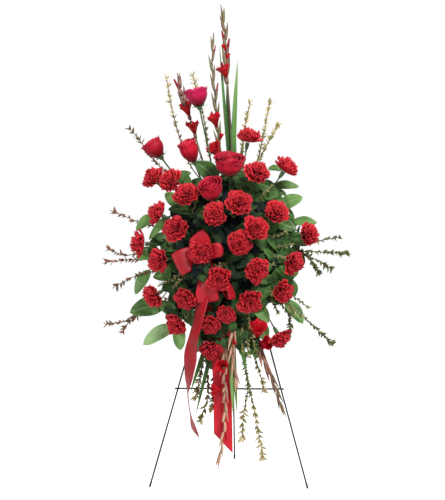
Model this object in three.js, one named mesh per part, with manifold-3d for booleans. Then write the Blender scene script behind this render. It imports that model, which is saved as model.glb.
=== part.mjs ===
// A standing funeral spray: red carnations, roses and gladioli with salal and leafy twigs, their
// stems in a wet foam brick in a plastic tray, with a red satin bow. The tray is tied to a folding
// wire easel. Millimetres, +Z up, the front towards -Y, and the origin on the floor in the middle
// of the easel's feet.

import * as THREE from 'three';
import { mergeVertices } from 'three/addons/utils/BufferGeometryUtils.js';
import Module from 'manifold-3d';

const wasm = await Module();
wasm.setup();

// Driving dimensions
const GAP = 0.3;               // clearance where two pieces touch
const FOOT_SPREAD = 460;       // between the two front feet
const FRONT_REACH = 180;       // the front feet stand this far in front of the easel's head
const BACK_REACH = 280;        // the back foot stands this far behind it
const EASEL_HEAD = 803;        // height of the easel's head
const LEG_TOPS = 18;           // between the front legs' tops
const WIRE = 2.5;              // radius of the easel's wire
const LOWER_BAR = 281;         // height of the lower crossbar
const UPPER_BAR = 640;         // height of the upper crossbar
const FOAM = { wide: 110, high: 230, deep: 80, middle: 695 };
const CARNATION = 37;          // radius of an open carnation
const DOME = { middle: 690, back: -80, deep: 190, wide: 310, high: 430 };

const at = (x, y, z) => new THREE.Vector3(x, y, z);
const X = at(1, 0, 0);
const Y = at(0, 1, 0);
const Z = at(0, 0, 1);

// The easel's front leans back. In its plane, up runs along the plane from the floor, and out
// stands square to it, towards the front.
const LEAN = Math.atan2(FRONT_REACH, EASEL_HEAD);
const UP = at(0, Math.sin(LEAN), Math.cos(LEAN));
const OUT = at(0, -Math.cos(LEAN), Math.sin(LEAN));
const leaning = (x, up, out) => at(x, -FRONT_REACH, 0).addScaledVector(UP, up).addScaledVector(OUT, out);
const LEANING = new THREE.Matrix4().makeBasis(X, UP, OUT).setPosition(leaning(0, 0, 0));
const alongLean = (height) => height / Math.cos(LEAN);

// Shared vertices are merged, so that a form is one closed skin
function welded(geometry) {
  geometry.deleteAttribute('normal');
  geometry.deleteAttribute('uv');
  return mergeVertices(geometry, 1e-4);
}

function solidOf(geometry) {
  const corners = geometry.index.array;
  const triangles = [];
  for (let i = 0; i < corners.length; i += 3) {
    const [a, b, c] = corners.slice(i, i + 3);
    if (a !== b && b !== c && c !== a) triangles.push(a, b, c);
  }
  const vertProperties = new Float32Array(geometry.attributes.position.array);
  const closed = (order) => new wasm.Manifold(
    new wasm.Mesh({ numProp: 3, vertProperties, triVerts: new Uint32Array(order) }));
  const solid = closed(triangles);
  return solid.volume() > 0 ? solid : closed(triangles.reverse());
}

function shaped(geometry, change) {
  const position = geometry.attributes.position;
  const point = at(0, 0, 0);
  for (let i = 0; i < position.count; i += 1) {
    point.fromBufferAttribute(position, i);
    change(point, i);
    position.setXYZ(i, point.x, point.y, point.z);
  }
  return geometry;
}

// A form with its length along Y, from 0 to 1, is laid along a curve, its X turned to one side
function laidAlong(geometry, curve, side) {
  return shaped(geometry, (point) => {
    const share = THREE.MathUtils.clamp(point.y, 0, 1);
    const along = curve.getTangentAt(share);
    const across = side.clone().addScaledVector(along, -side.dot(along)).normalize();
    const up = across.clone().cross(along);
    const { x, z } = point;
    point.copy(curve.getPointAt(share)).addScaledVector(across, x).addScaledVector(up, z);
  });
}

const turnTo = (direction) => new THREE.Quaternion().setFromUnitVectors(Y, direction.clone().normalize());

// A form that stands on Y is turned to face a direction and moved to its place
function turned(geometry, direction, place) {
  geometry.applyQuaternion(turnTo(direction));
  geometry.translate(place.x, place.y, place.z);
  return geometry;
}

const joined = (solids) => solids.reduce((whole, next) => whole.add(next));

function largest(solid) {
  const bodies = solid.decompose();
  bodies.sort((a, b) => b.volume() - a.volume());
  return bodies[0];
}

// The room that a finished piece holds, with its clearance, is kept out of what is made later
const rooms = [];

function hold(...solids) {
  for (const solid of solids) rooms.push({ solid, box: solid.boundingBox() });
}

function meets(one, two) {
  return [0, 1, 2].every((k) => one.min[k] < two.max[k] && two.min[k] < one.max[k]);
}

function crosses(solid) {
  const box = solid.boundingBox();
  return rooms.some((room) => !room.twig && meets(box, room.box) && solid.intersect(room.solid).volume() > 0);
}

function clearOf(solid) {
  const box = solid.boundingBox();
  return rooms.reduce((rest, room) => (meets(box, room.box) ? rest.subtract(room.solid) : rest), solid);
}

// What is in place is also known as functions that give a point's rough distance to it, so that
// stems and leaves are bent clear: a form is tried with each change in turn until it is clear.
const obstacles = [];

function avoidLine(from, to, radius) {
  const line = new THREE.Line3(from.clone(), to.clone());
  const nearest = at(0, 0, 0);
  obstacles.push((point) => line.closestPointToPoint(point, true, nearest).distanceTo(point) - radius);
}

function avoidCurve(curve, radius, steps = 8) {
  const points = curve.getSpacedPoints(steps);
  for (let k = 0; k < steps; k += 1) avoidLine(points[k], points[k + 1], radius);
}

function avoidPoint(centre) {
  obstacles.push((point) => centre.distanceTo(point) - 2);
}

function clearance(points) {
  let least = Infinity;
  for (const point of points) {
    for (const distance of obstacles) least = Math.min(least, distance(point));
  }
  return least;
}

function bentClear(changes, make, samples, need) {
  let best = null;
  for (const change of changes) {
    const made = make(change);
    const room = clearance(samples(made));
    if (!best || room > best.room) best = { made, room };
    if (room > need) break;
  }
  return best.made;
}

const group = new THREE.Group();

function piece(name, solid, finish) {
  const mesh = solid.getMesh();
  const geometry = new THREE.BufferGeometry();
  geometry.setAttribute('position', new THREE.BufferAttribute(mesh.vertProperties, 3));
  geometry.setIndex(new THREE.BufferAttribute(mesh.triVerts, 1));
  geometry.computeVertexNormals();
  const object = new THREE.Mesh(geometry, finish);
  object.name = name;
  group.add(object);
}

const finish = (color, roughness, metalness = 0) => new THREE.MeshStandardMaterial({ color, roughness, metalness });
const WIRE_BLACK = finish(0x14201a, 0.45, 0.6);
const TRAY_GREEN = finish(0x1f4a2c, 0.5);
const FOAM_GREEN = finish(0x2f6b3c, 0.95);
const TIE_BLACK = finish(0x151515, 0.5);
const STEM_GREEN = finish(0x5d7f45, 0.7);
const CARNATION_RED = finish(0xc8142c, 0.75);
const ROSE_RED = finish(0xb01238, 0.6);
const GLADIOLUS_RED = finish(0xd01a24, 0.65);
const SWORD_GREEN = finish(0x7da35a, 0.55);
const SALAL_GREEN = finish(0x2f6a36, 0.45);
const TWIG_BROWN = finish(0x8a7f45, 0.75);
const SATIN_RED = finish(0xc4122a, 0.35);

// Tapered round stem along a curve
function tube(curve, thick, thin, sides, steps, grow = 0) {
  const form = new THREE.CylinderGeometry(thin + grow, thick + grow, 1, sides, steps);
  form.translate(0, 0.5, 0);
  const run = curve.getPointAt(1).sub(curve.getPointAt(0)).normalize();
  const side = Math.abs(run.x) < 0.8 ? X : Z;
  return laidAlong(welded(form), curve, side);
}

// The middle of such a stem between two of its steps
function inTube(curve, share, steps) {
  const k = Math.min(steps - 1, Math.floor(share * steps));
  return curve.getPointAt(k / steps).lerp(curve.getPointAt((k + 1) / steps), share * steps - k);
}

const straight = (from, to) => new THREE.LineCurve3(from, to);
const through = (...points) => new THREE.CatmullRomCurve3(points.map((p) => (p.isVector3 ? p : at(...p))));

// A leaf has a pointed outline, given as shares of its half width along its length, and a fold
// along its rib. Its edges are thin and its middle is thick.
const SALAL_OUTLINE = [[0, 0], [0.92, 0.28], [0.84, 0.64], [0, 1]];
const SMALL_OUTLINE = [[0, 0], [1, 0.45], [0, 1]];
const SWORD_OUTLINE = [[0, 0], [0.4, 0.001], [1, 0.35], [0.8, 0.72], [0, 1]];

function leaf(curve, wide, facing, { outline = SALAL_OUTLINE, thick = 1.5, fold = 0.25, grow = 0 } = {}) {
  const half = wide / 2 + grow;
  const profile = outline.map(([share, along]) => new THREE.Vector2(share * half, along));
  const form = welded(new THREE.LatheGeometry(profile, 4));
  shaped(form, (point) => {
    const face = Math.abs(point.z) > 1e-3 ? Math.sign(point.z) : 0;
    point.z = face * (thick / 2 + grow) + fold * Math.abs(point.x);
  });
  const run = curve.getPointAt(1).sub(curve.getPointAt(0)).normalize();
  return laidAlong(form, curve, run.cross(facing));
}

// Easel: two front legs and a back leg of black wire, with a top bar that the back leg's eye
// turns on, and two crossbars. The feet are cut flat on the floor.
const floor = solidOf(welded(new THREE.BoxGeometry(1200, 1200, 100).translate(0, 0, -50)));
const footLine = (foot, top) => straight(foot.clone().addScaledVector(top.clone().sub(foot), -0.02), top);
const wire = (curve, grow = 0) => solidOf(tube(curve, WIRE, WIRE, 8, 1, grow));
const legOffset = 2 * WIRE + GAP;

for (const [name, side] of [['easel_left_leg', -1], ['easel_right_leg', 1]]) {
  const leg = footLine(at(side * FOOT_SPREAD / 2, -FRONT_REACH, 0), at(side * LEG_TOPS / 2, 0, EASEL_HEAD));
  piece(name, wire(leg).subtract(floor), WIRE_BLACK);
  hold(wire(leg, GAP));
}

const HINGE = leaning(0, alongLean(EASEL_HEAD - 8), -legOffset);
const topBar = straight(HINGE.clone().addScaledVector(X, -14), HINGE.clone().addScaledVector(X, 14));
piece('easel_top_bar', wire(topBar), WIRE_BLACK);

const legAt = (height) => LEG_TOPS / 2 + (FOOT_SPREAD - LEG_TOPS) / 2 * (1 - height / EASEL_HEAD);
for (const [name, height] of [['easel_upper_crossbar', UPPER_BAR], ['easel_lower_crossbar', LOWER_BAR]]) {
  const reach = legAt(height) + 9;
  const bar = straight(leaning(-reach, alongLean(height), legOffset), leaning(reach, alongLean(height), legOffset));
  piece(name, wire(bar), WIRE_BLACK);
  hold(wire(bar, GAP));
}

const EYE = 5.4;               // radius of the back leg's eye, at the middle of its wire
const backFoot = at(0, BACK_REACH, 0);
const toFoot = backFoot.clone().sub(HINGE).normalize();
const eye = welded(new THREE.TorusGeometry(EYE, WIRE, 5, 8).rotateY(Math.PI / 2));
eye.translate(HINGE.x, HINGE.y, HINGE.z);
const backLeg = straight(HINGE.clone().addScaledVector(toFoot, EYE), backFoot.clone().addScaledVector(toFoot, 20));
piece('easel_back_leg', solidOf(eye).add(wire(backLeg)).subtract(floor), WIRE_BLACK);

// Foam tray: a back plate with low walls round the foam, and two pairs of slots for the ties
const TRAY_BACK = WIRE + legOffset + 0.4;   // the plate's back face, just clear of the crossbar
const PLATE = 3;
const WALL = 2.5;
const WALL_HIGH = 22;
const TIE_AT = 25;
const SLOT = { wide: 6, high: 4, apart: 13 };
const tieUp = alongLean(UPPER_BAR);
const inner = { wide: FOAM.wide + 2 * GAP, high: FOAM.high + 2 * GAP };
const block = (wide, high, deep, x, up, out) => welded(
  new THREE.BoxGeometry(wide, high, deep).translate(x, up, out + deep / 2).applyMatrix4(LEANING));

const trayWalls = solidOf(block(inner.wide + 2 * WALL, inner.high + 2 * WALL, PLATE + WALL_HIGH, 0, FOAM.middle, TRAY_BACK))
  .subtract(solidOf(block(inner.wide, inner.high, WALL_HIGH + 1, 0, FOAM.middle, TRAY_BACK + PLATE)));
const slots = [];
for (const side of [-1, 1]) {
  for (const level of [-1, 1]) {
    const up = tieUp + level * SLOT.apart / 2;
    slots.push(solidOf(block(SLOT.wide, SLOT.high, PLATE + 4, side * TIE_AT, up, TRAY_BACK - 2)));
  }
}
const tray = slots.reduce((rest, slot) => rest.subtract(slot), trayWalls);
const FOAM_BACK = TRAY_BACK + PLATE + 2;
const FOAM_HEART = leaning(0, FOAM.middle, FOAM_BACK + FOAM.deep / 2);

// Ties: flat loops round the crossbar and the bridge of tray between two slots
const TIE = { wide: 3.6, thick: 1.2, high: SLOT.apart + 1.2, deep: PLATE + 2 * WIRE + 3.4 };
function tieLoop(x) {
  const ring = (grow) => {
    const [h, d, r] = [TIE.high / 2 + grow, TIE.deep / 2 + grow, 2 + grow];
    const outline = new THREE.Shape();
    outline.moveTo(-d + r, -h).lineTo(d - r, -h).lineTo(d, -h + r).lineTo(d, h - r);
    outline.lineTo(d - r, h).lineTo(-d + r, h).lineTo(-d, h - r).lineTo(-d, -h + r).closePath();
    return outline;
  };
  const outline = ring(0);
  outline.holes.push(new THREE.Path(ring(-TIE.thick).getPoints()));
  const form = new THREE.ExtrudeGeometry(outline, { depth: TIE.wide, bevelEnabled: false, steps: 1 });
  const middle = legOffset - WIRE - GAP - TIE.thick + TIE.deep / 2;
  form.rotateY(-Math.PI / 2).translate(x + TIE.wide / 2, tieUp, middle).applyMatrix4(LEANING);
  return solidOf(welded(form));
}
piece('tray_tie_left', tieLoop(-TIE_AT), TIE_BLACK);
piece('tray_tie_right', tieLoop(TIE_AT), TIE_BLACK);
piece('foam_tray', tray, TRAY_GREEN);
// nothing that grows stands behind the easel's front below its head
hold(solidOf(block(700, alongLean(EASEL_HEAD) + 4, 60, 0, alongLean(EASEL_HEAD) / 2, -56 + WIRE + GAP)));

// Carnations: ruffled heads that sit on the dome of the spray and face away from its heart. Each is
// given by its place across and up, and some also by how far they are turned to the front, by their
// size and by how far they stand proud.
const domeFront = (x, z) => DOME.back
  - DOME.deep * Math.sqrt(1 - (x / DOME.wide) ** 2 - ((z - DOME.middle) / DOME.high) ** 2);

const FORWARD = 0.7;           // how far most heads are turned to the front
const CARNATIONS = [
  [59, 1020, -0.15], [170, 932, -0.45], [86, 914, 0.4], [-221, 903, 0.3], [-168, 892, FORWARD, 1, 12],
  [-119, 853], [36, 828], [-205, 799, -0.25], [-38, 793], [141, 803, 0.4], [-149, 755], [82, 753],
  [34, 709, FORWARD, 1, -6], [234, 739, 0.1], [-261, 712, -0.2], [-200, 662, 0.3], [-77, 682],
  [85, 634], [190, 655, -0.1], [-23, 610], [160, 571, 0.15], [-219, 557, 0.1], [-124, 552, 0.45],
  [66, 545], [-149, 477, 0.2], [-4, 508, FORWARD, 0.76], [-53, 479, 0.5, 1, 6], [-48, 405, 0.3],
  [151, 437, -0.05],
];

// Profile of a head from its base up: the broad outer petals, then two smaller whorls inside. The
// last value is how far the whorl's edge is frilled.
const HEAD_PROFILE = [
  [0, -18, 0], [6, -18, 0], [37, 1, 1], [21, 6, 0], [28, 15, 1], [10, 14, 0], [0, 23, 0],
];
const HEAD_SIDES = 10;

function carnation(place, facing, size, turn) {
  const profile = HEAD_PROFILE.map(([r, y]) => new THREE.Vector2(r * size, y * size));
  const form = new THREE.LatheGeometry(profile, HEAD_SIDES);
  shaped(form, (point, i) => {
    const column = Math.floor(i / profile.length) % HEAD_SIDES;
    const row = i % profile.length;
    const frill = HEAD_PROFILE[row][2];
    const wave = frill * ((column + row) % 2 ? 1 : -1);
    const wander = frill * Math.sin(3 * column + 5 * row + turn);
    const swell = 1 + 0.055 * wave + 0.035 * wander;
    point.set(point.x * swell, point.y + size * (1.4 * wave + 1.2 * wander), point.z * swell);
  });
  return solidOf(turned(welded(form).rotateY(turn), facing, place));
}

function headRoom(place, facing, size) {
  const s = size * 1.17;
  const profile = [[0, -19], [9 * size, -18.4 * size], [CARNATION * s, -3 * size], [CARNATION * s, 4 * size],
    [30 * s, 18 * size], [20 * s, 28 * size], [0, 28.5 * size]].map(([r, y]) => new THREE.Vector2(r, y));
  return solidOf(turned(welded(new THREE.LatheGeometry(profile, 8)), facing, place));
}

function avoidHead(place, facing, radius) {
  const offset = at(0, 0, 0);
  obstacles.push((point) => {
    offset.copy(point).sub(place);
    const along = offset.dot(facing);
    const across = Math.sqrt(Math.max(0, offset.lengthSq() - along * along));
    return Math.max(across - radius * 1.12, -along - radius * 0.5 + 0.35 * across, along - radius * 0.8);
  });
}

const stems = [];
CARNATIONS.forEach(([x, z, forward = FORWARD, size = 1, proud = 0], k) => {
  const place = at(x, domeFront(x, z) - proud, z);
  const facing = place.clone().sub(FOAM_HEART).normalize().addScaledVector(Y, -forward).normalize();
  piece(`carnation_${String(k + 1).padStart(2, '0')}`, carnation(place, facing, size, 1.7 * (k + 1)), CARNATION_RED);
  hold(headRoom(place, facing, size));
  avoidHead(place, facing, CARNATION * size);
  stems.push({ place, facing, base: 18 * size + GAP, calyx: [7, 28], thick: 2.4 });
});

// Roses: cupped petals round a tight heart, each with its place, radius, height and how far it opens
const ROSES = [
  ['rose_top', [-93, -150, 1141], 29, 55, 0.12],
  ['rose_left', [-220, -130, 992], 27, 58, 0.05],
  ['rose_bud', [-113, -175, 980], 24, 68, 0.0],
  ['rose_centre', [5, -215, 935], 38, 60, 0.25],
  ['rose_lower', [-47, -232, 862], 31, 62, 0.1],
];

function rosePetal(radius, height, open, middle, spread) {
  const thick = 1.8;
  const form = welded(new THREE.BoxGeometry(1, 1, 1, 3, 2, 1));
  return solidOf(shaped(form, (point) => {
    const up = point.y + 0.5;
    const angle = middle - point.x * spread;
    const swell = 0.3 + 0.7 * Math.sin(Math.min(up * 2.6, Math.PI / 2 + 0.45));
    const r = radius * (swell + open * up * up) + point.z * thick;
    const edge = 1 - 0.9 * up * point.x * point.x;
    point.set(r * Math.cos(angle), height * up * edge, r * Math.sin(angle));
  }));
}

function roseHead(radius, height, open) {
  const heart = [[0, 0], [0.24, 0], [0.56, 0.3], [0.5, 0.9], [0, 0.8]];
  const profile = heart.map(([r, y]) => new THREE.Vector2(r * radius, y * height));
  const parts = [solidOf(welded(new THREE.LatheGeometry(profile, 4)))];
  for (let k = 0; k < 3; k += 1) {
    parts.push(rosePetal(radius * (1 - 0.11 * k), height * (1 - 0.04 * k), open, k * 2.15, 2.4));
  }
  return joined(parts);
}

for (const [name, place, radius, height, open] of ROSES) {
  const middle = at(...place);
  const facing = middle.clone().sub(FOAM_HEART).normalize();
  const base = middle.clone().addScaledVector(facing, -height / 2);
  const matrix = new THREE.Matrix4().compose(base, turnTo(facing), at(1, 1, 1));
  piece(name, roseHead(radius, height, open).transform(matrix.elements), ROSE_RED);
  const wide = radius * (1.1 + open) + 2;
  const profile = [[0, -0.4], [radius * 0.6, -0.4], [wide, height * 0.4], [wide, height + 1], [0, height + 1.5]];
  const room = welded(new THREE.LatheGeometry(profile.map(([r, y]) => new THREE.Vector2(r, y)), 8));
  hold(solidOf(turned(room, facing, base)));
  avoidHead(middle, facing, Math.max(radius, height / 2) * (1.1 + open));
  stems.push({ place: middle, facing, base: height / 2 + GAP, calyx: [8, 13], thick: 3 });
}

// Stems of the carnations and roses run straight from the heart of the foam and bend under their
// heads, where they widen to the calyx
const STEM_SIDES = 3;
const HEART = 26;              // radius of the ball in which they all meet
const GROWN = GAP / Math.cos(Math.PI / STEM_SIDES);
const stemHeart = (radius) => solidOf(welded(new THREE.IcosahedronGeometry(radius, 0).translate(...FOAM_HEART.toArray())));
const stemSolids = [stemHeart(HEART)];
hold(stemHeart(HEART + 2 * GAP));
for (const { place, facing, base, calyx: [high, long], thick } of stems) {
  const end = place.clone().addScaledVector(facing, -base);
  const knee = end.clone().addScaledVector(facing, -long);
  const straightOut = knee.clone().sub(FOAM_HEART).normalize();
  const rows = [[FOAM_HEART, straightOut], [knee, straightOut.clone().add(facing)], [end, facing]];
  const stemForm = (grow) => {
    const profile = [[0, 0], [thick + grow, 0], [thick + grow, 1], [high + grow, 2], [0, 2]];
    const form = new THREE.LatheGeometry(profile.map(([r, row]) => new THREE.Vector2(r, row)), STEM_SIDES);
    return solidOf(shaped(welded(form), (point) => {
      const [middle, direction] = rows[Math.round(point.y)];
      point.setY(0).applyQuaternion(turnTo(direction)).add(middle);
    }));
  };
  avoidLine(FOAM_HEART, knee, thick);
  avoidLine(knee, end, high);
  stemSolids.push(stemForm(0));
  hold(stemForm(GROWN));
}
piece('flower_stems', joined(stemSolids), STEM_GREEN);

// Gladioli: tapering spikes with sheathed buds in two rows and funnel florets. Each floret has its
// share along the spike, its direction and its length. The buds are given by the share at which
// they begin, and their number.
function funnel(from, direction, long) {
  const wide = long * 0.58;
  const profile = [[0, 0], [0.34, 0.5], [1, 1], [0, 0.5]].map(([r, y]) => new THREE.Vector2(r * wide, y * long));
  const form = new THREE.LatheGeometry(profile, 12);
  shaped(form, (point, i) => {
    if (i % profile.length !== 2) return;
    const notch = Math.floor(i / profile.length) % 2 === 1;
    const [reach, rise] = notch ? [0.62, 0.86] : [1, 1];
    point.set(point.x * reach, point.y * rise, point.z * reach);
  });
  return solidOf(turned(welded(form), direction, from));
}

const GLADIOLI = [
  {
    name: 'gladioli_upper', foot: [-14, -66, 765], spikes: [
      {
        thick: 4.2, buds: [0.66, 6],
        route: [[5, -50, 960], [-4, -45, 1130], [-12, -40, 1240], [-16, -36, 1340], [-30, -30, 1436]],
        florets: [[0.66, [-0.35, -0.5, 1], 44], [0.74, [0.3, -0.3, 1], 26], [0.78, [-0.3, -0.2, 1], 26]],
      },
      {
        thick: 4, buds: [0.54, 6],
        route: [[-24, -76, 950], [-38, -72, 1060], [-46, -68, 1170], [-54, -62, 1240], [-50, -58, 1346]],
        florets: [[0.34, [-0.6, -0.6, 0.9], 54], [0.43, [0.35, -0.4, 1], 28], [0.5, [-0.3, -0.6, 1], 44]],
      },
      {
        thick: 3.8, buds: [0.74, 4],
        route: [[-83, -64, 960], [-112, -66, 1060], [-134, -66, 1130], [-152, -60, 1187], [-160, -56, 1226]],
        florets: [[0.59, [-0.2, -0.5, 1], 44], [0.71, [-0.3, -0.5, 1], 46]],
      },
    ],
  },
  {
    name: 'gladioli_lower', foot: [14, -112, 606], spikes: [
      {
        thick: 3.6, buds: [0.5, 7],
        route: [[-10, -172, 520], [-12, -194, 402], [-10, -198, 300], [-11, -200, 190], [-30, -196, 58]],
        florets: [[0.42, [0.5, -0.6, 0.6], 34], [0.6, [-0.9, -0.35, 0.1], 40]],
      },
      {
        thick: 3, buds: [0.45, 6],
        route: [[16, -176, 540], [14, -206, 470], [12, -210, 382], [20, -208, 336], [28, -204, 290]],
        florets: [[0.56, [0.3, -0.6, -0.7], 26]],
      },
      {
        thick: 4, buds: [0.5, 7],
        route: [[54, -160, 530], [72, -176, 460], [98, -184, 384], [132, -188, 305], [160, -186, 214]],
        florets: [[0.47, [0.1, -0.6, 0.8], 50]],
      },
    ],
  },
];

// A route leaves its foot straight for its first point
const routeFrom = (foot, points) => through(foot, foot.clone().lerp(at(...points[0]), 0.5), ...points);

const SPIKE_STEPS = 6;
const BUD = { long: 60, short: 38, wide: 0.18, out: 0.24 };   // the last two as shares of its length

function spike(foot, { thick, buds: [first, count], route, florets }) {
  const curve = routeFrom(at(...foot), route);
  const parts = [solidOf(tube(curve, thick, 1.2, 4, SPIKE_STEPS))];
  hold(solidOf(tube(curve, thick + 0.8, 2.4, 4, SPIKE_STEPS)));
  for (let k = 0; k < count; k += 1) {
    const share = first + (1 - first) * (k / count);
    const along = curve.getTangentAt(share);
    const out = at(k % 2 ? 1 : -1, -0.3, 0).normalize();
    const from = inTube(curve, share, SPIKE_STEPS);
    const long = THREE.MathUtils.lerp(BUD.long, BUD.short, k / count);
    const tip = from.clone().addScaledVector(along, long).addScaledVector(out, long * BUD.out);
    const bud = { outline: [[0, 0], [1, 0.4], [0, 1]], thick: long * 0.17, fold: 0 };
    parts.push(solidOf(leaf(straight(from, tip), long * BUD.wide, OUT, bud)));
    hold(solidOf(leaf(straight(from, tip), long * BUD.wide, OUT, { ...bud, grow: 1.2 })));
    avoidLine(from, tip, long * 0.1);
  }
  for (const [share, direction, long] of florets) {
    const from = inTube(curve, share, SPIKE_STEPS);
    const facing = at(...direction).normalize();
    parts.push(funnel(from, facing, long));
    const room = new THREE.CylinderGeometry(long * 0.66, 6, long + 1, 8).translate(0, long / 2, 0);
    hold(solidOf(turned(welded(room), facing, from)));
    avoidLine(from, from.clone().addScaledVector(facing, long), long * 0.4);
  }
  avoidCurve(curve, thick);
  return joined(parts);
}

for (const { name, foot, spikes } of GLADIOLI) {
  piece(name, joined(spikes.map((form) => spike(foot, form))), GLADIOLUS_RED);
}

// Satin bow: bands of ribbon looped out of a knot, and two tails that hang from it
const RIBBON = { wide: 62, thick: 1 };
const KNOT = at(-62, -224, 650);
// Each loop folds back at its edge, between two places
const LOOPS = [
  { edge: [[-129, -254, 621], [-159, -250, 678]], puff: 14 },
  { edge: [[-114, -236, 719], [-72, -238, 752]], puff: 12 },
  { edge: [[-12, -246, 714], [-14, -246, 668]], puff: 14 },
  { edge: [[-24, -248, 546], [-90, -242, 538]], puff: 13 },
];

function bowLoop({ edge, puff }, grow = 0) {
  const [one, other] = edge.map((place) => at(...place));
  const along = one.clone().lerp(other, 0.5).sub(KNOT);
  const across = other.sub(one);
  const wide = across.length();
  across.normalize();
  const long = along.length();
  const thick = RIBBON.thick + 2 * grow;
  const band = (inset) => {
    const outline = new THREE.Shape();
    const p = puff - inset;
    outline.moveTo(inset * 1.5, 0).lineTo(long * 0.45, -p * 0.8).lineTo(long * 0.85, -p);
    outline.lineTo(long - inset, -p * 0.5).lineTo(long - inset, p * 0.5).lineTo(long * 0.85, p);
    outline.lineTo(long * 0.45, p * 0.8).closePath();
    return outline;
  };
  const outline = band(-grow);
  outline.holes.push(new THREE.Path(band(thick - grow).getPoints()));
  const form = new THREE.ExtrudeGeometry(outline, { depth: 1, bevelEnabled: false, steps: 1 });
  const run = along.normalize();
  const front = across.clone().cross(run).normalize();
  return solidOf(shaped(welded(form), (point) => {
    const narrow = THREE.MathUtils.lerp(0.55, 1, Math.min(1, point.x / (long * 0.5)));
    const side = (point.z - 0.5) * (wide * narrow + 2 * grow);
    const { x, y } = point;
    point.copy(KNOT).addScaledVector(run, x).addScaledVector(front, y).addScaledVector(across, side);
  }));
}

const knot = (grow) => solidOf(welded(new THREE.IcosahedronGeometry(1, 0)
  .scale(19 + grow, 14 + grow, 18 + grow).translate(...KNOT.toArray())));
const bowSolid = joined([knot(0), ...LOOPS.map((loop) => bowLoop(loop))]);
piece('ribbon_bow', largest(clearOf(bowSolid)), SATIN_RED);
hold(knot(GAP), ...LOOPS.map((loop) => bowLoop(loop, GAP)));

// A tail follows its route; its width turns from facing the front by the given angles on the way
function tail(route, wide, angles, notch, grow = 0) {
  const curve = through(...route);
  const steps = 9;
  const form = new THREE.BoxGeometry(1, 1, RIBBON.thick + 2 * grow, 1, steps, 1).translate(0, 0.5, 0);
  // the back is split along the same diagonals as the front, so a twist keeps the two apart
  const { start, count } = form.groups.at(-1);
  for (let i = start; i < start + count; i += 6) {
    const [a, b, d, , c] = form.index.array.slice(i, i + 5);
    form.index.array.set([a, b, c, a, c, d], i);
  }
  return solidOf(shaped(welded(form), (point) => {
    const share = THREE.MathUtils.clamp(point.y, 0, 1);
    const k = Math.min(angles.length - 2, Math.floor(share * (angles.length - 1)));
    const between = share * (angles.length - 1) - k;
    const angle = THREE.MathUtils.lerp(angles[k], angles[k + 1], between);
    const along = curve.getTangentAt(share);
    const across = at(Math.cos(angle), -Math.sin(angle), 0);
    across.addScaledVector(along, -across.dot(along)).normalize();
    const up = across.clone().cross(along);
    const cut = share > 0.999 ? notch * point.x : 0;
    const { x, z } = point;
    point.copy(curve.getPointAt(share)).addScaledVector(across, x * (wide + 2 * grow));
    point.addScaledVector(up, z).addScaledVector(along, cut);
  }));
}

const TAILS = [
  {
    name: 'ribbon_streamer_left', wide: 60, notch: 20, angles: [0.9, 1.1, 1.0, 0.9, 1.1, 1.4, 1.9, 1.2],
    route: [[-72, -238, 560], [-84, -240, 497], [-102, -228, 424], [-110, -216, 347], [-115, -208, 283],
      [-110, -204, 225], [-96, -200, 162]],
  },
  {
    name: 'ribbon_streamer_centre', wide: 54, notch: 58, angles: [0, 0.1, 0, -0.1, 0, 0],
    route: [[-42, -205, 560], [-31, -186, 470], [-22, -176, 380], [-18, -178, 290], [-16, -180, 200], [-15, -180, 130]],
  },
];
for (const { name, wide, notch, angles, route } of TAILS) {
  piece(name, largest(clearOf(tail(route, wide, angles, notch))), SATIN_RED);
  hold(tail(route, wide, angles, notch, GAP));
}

// What branches does so from one foot, just outside the foam, with its root in the foam
const ROOT = { thick: 3.4, sides: 4 };
const rootStem = ({ root, foot }, grow) => {
  const [from, to] = [at(...root), at(...foot)];
  const past = to.clone().sub(from).setLength(3).add(to);
  return solidOf(tube(straight(from, past), ROOT.thick, ROOT.thick, ROOT.sides, 1, grow));
};

// Gladiolus leaves: long swords that fan from their foot
const FRONT = at(0, -1, 0.1);
const SWORDS = [
  {
    name: 'gladiolus_leaves_upper', root: [6, -50, 770], foot: [7, -46, 826],
    tips: [[44, -36, 1040, 13], [22, -38, 1265, 16], [-34, -32, 1316, 10], [-12, -36, 1202, 18], [14, -40, 1063, 14]],
    bend: [0, -4, 0],
  },
  {
    name: 'gladiolus_leaves_lower', root: [4, -106, 604], foot: [4, -112, 560],
    tips: [[14, -184, 214, 17], [26, -184, 208, 13], [-96, -184, 208, 13], [-112, -180, 276, 16], [52, -180, 330, 18]],
    bend: [0, -66, 40],
  },
];
const SWORD_LAYER = 5;
for (const { name, root, foot, tips, bend } of SWORDS) {
  const parts = [rootStem({ root, foot }, 0)];
  const grown = [rootStem({ root, foot }, GAP + 0.2)];
  const depth = (k) => SWORD_LAYER * (k - (tips.length - 1) / 2);
  tips.forEach(([x, y, z, wide], k) => {
    const from = at(...foot).add(at(0, depth(k), 0));
    const to = at(x, y + depth(k), z);
    const middle = from.clone().lerp(to, 0.45).add(at(...bend));
    const curve = new THREE.QuadraticBezierCurve3(from, middle, to);
    const form = { outline: SWORD_OUTLINE, thick: 1.4, fold: 0.1 };
    parts.push(solidOf(leaf(curve, wide, FRONT, form)));
    grown.push(solidOf(leaf(curve, wide, FRONT, { ...form, grow: 0.6 })));
    avoidCurve(curve, wide * 0.3);
  });
  const span = SWORD_LAYER * (tips.length - 1) + 4;
  parts.push(solidOf(welded(new THREE.CylinderGeometry(5, 5, span, 6).translate(...foot))));
  grown.push(solidOf(welded(new THREE.CylinderGeometry(5.5, 5.5, span + 1, 6).translate(...foot))));
  piece(name, largest(clearOf(joined(parts))), SWORD_GREEN);
  hold(...grown);
}

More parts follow.
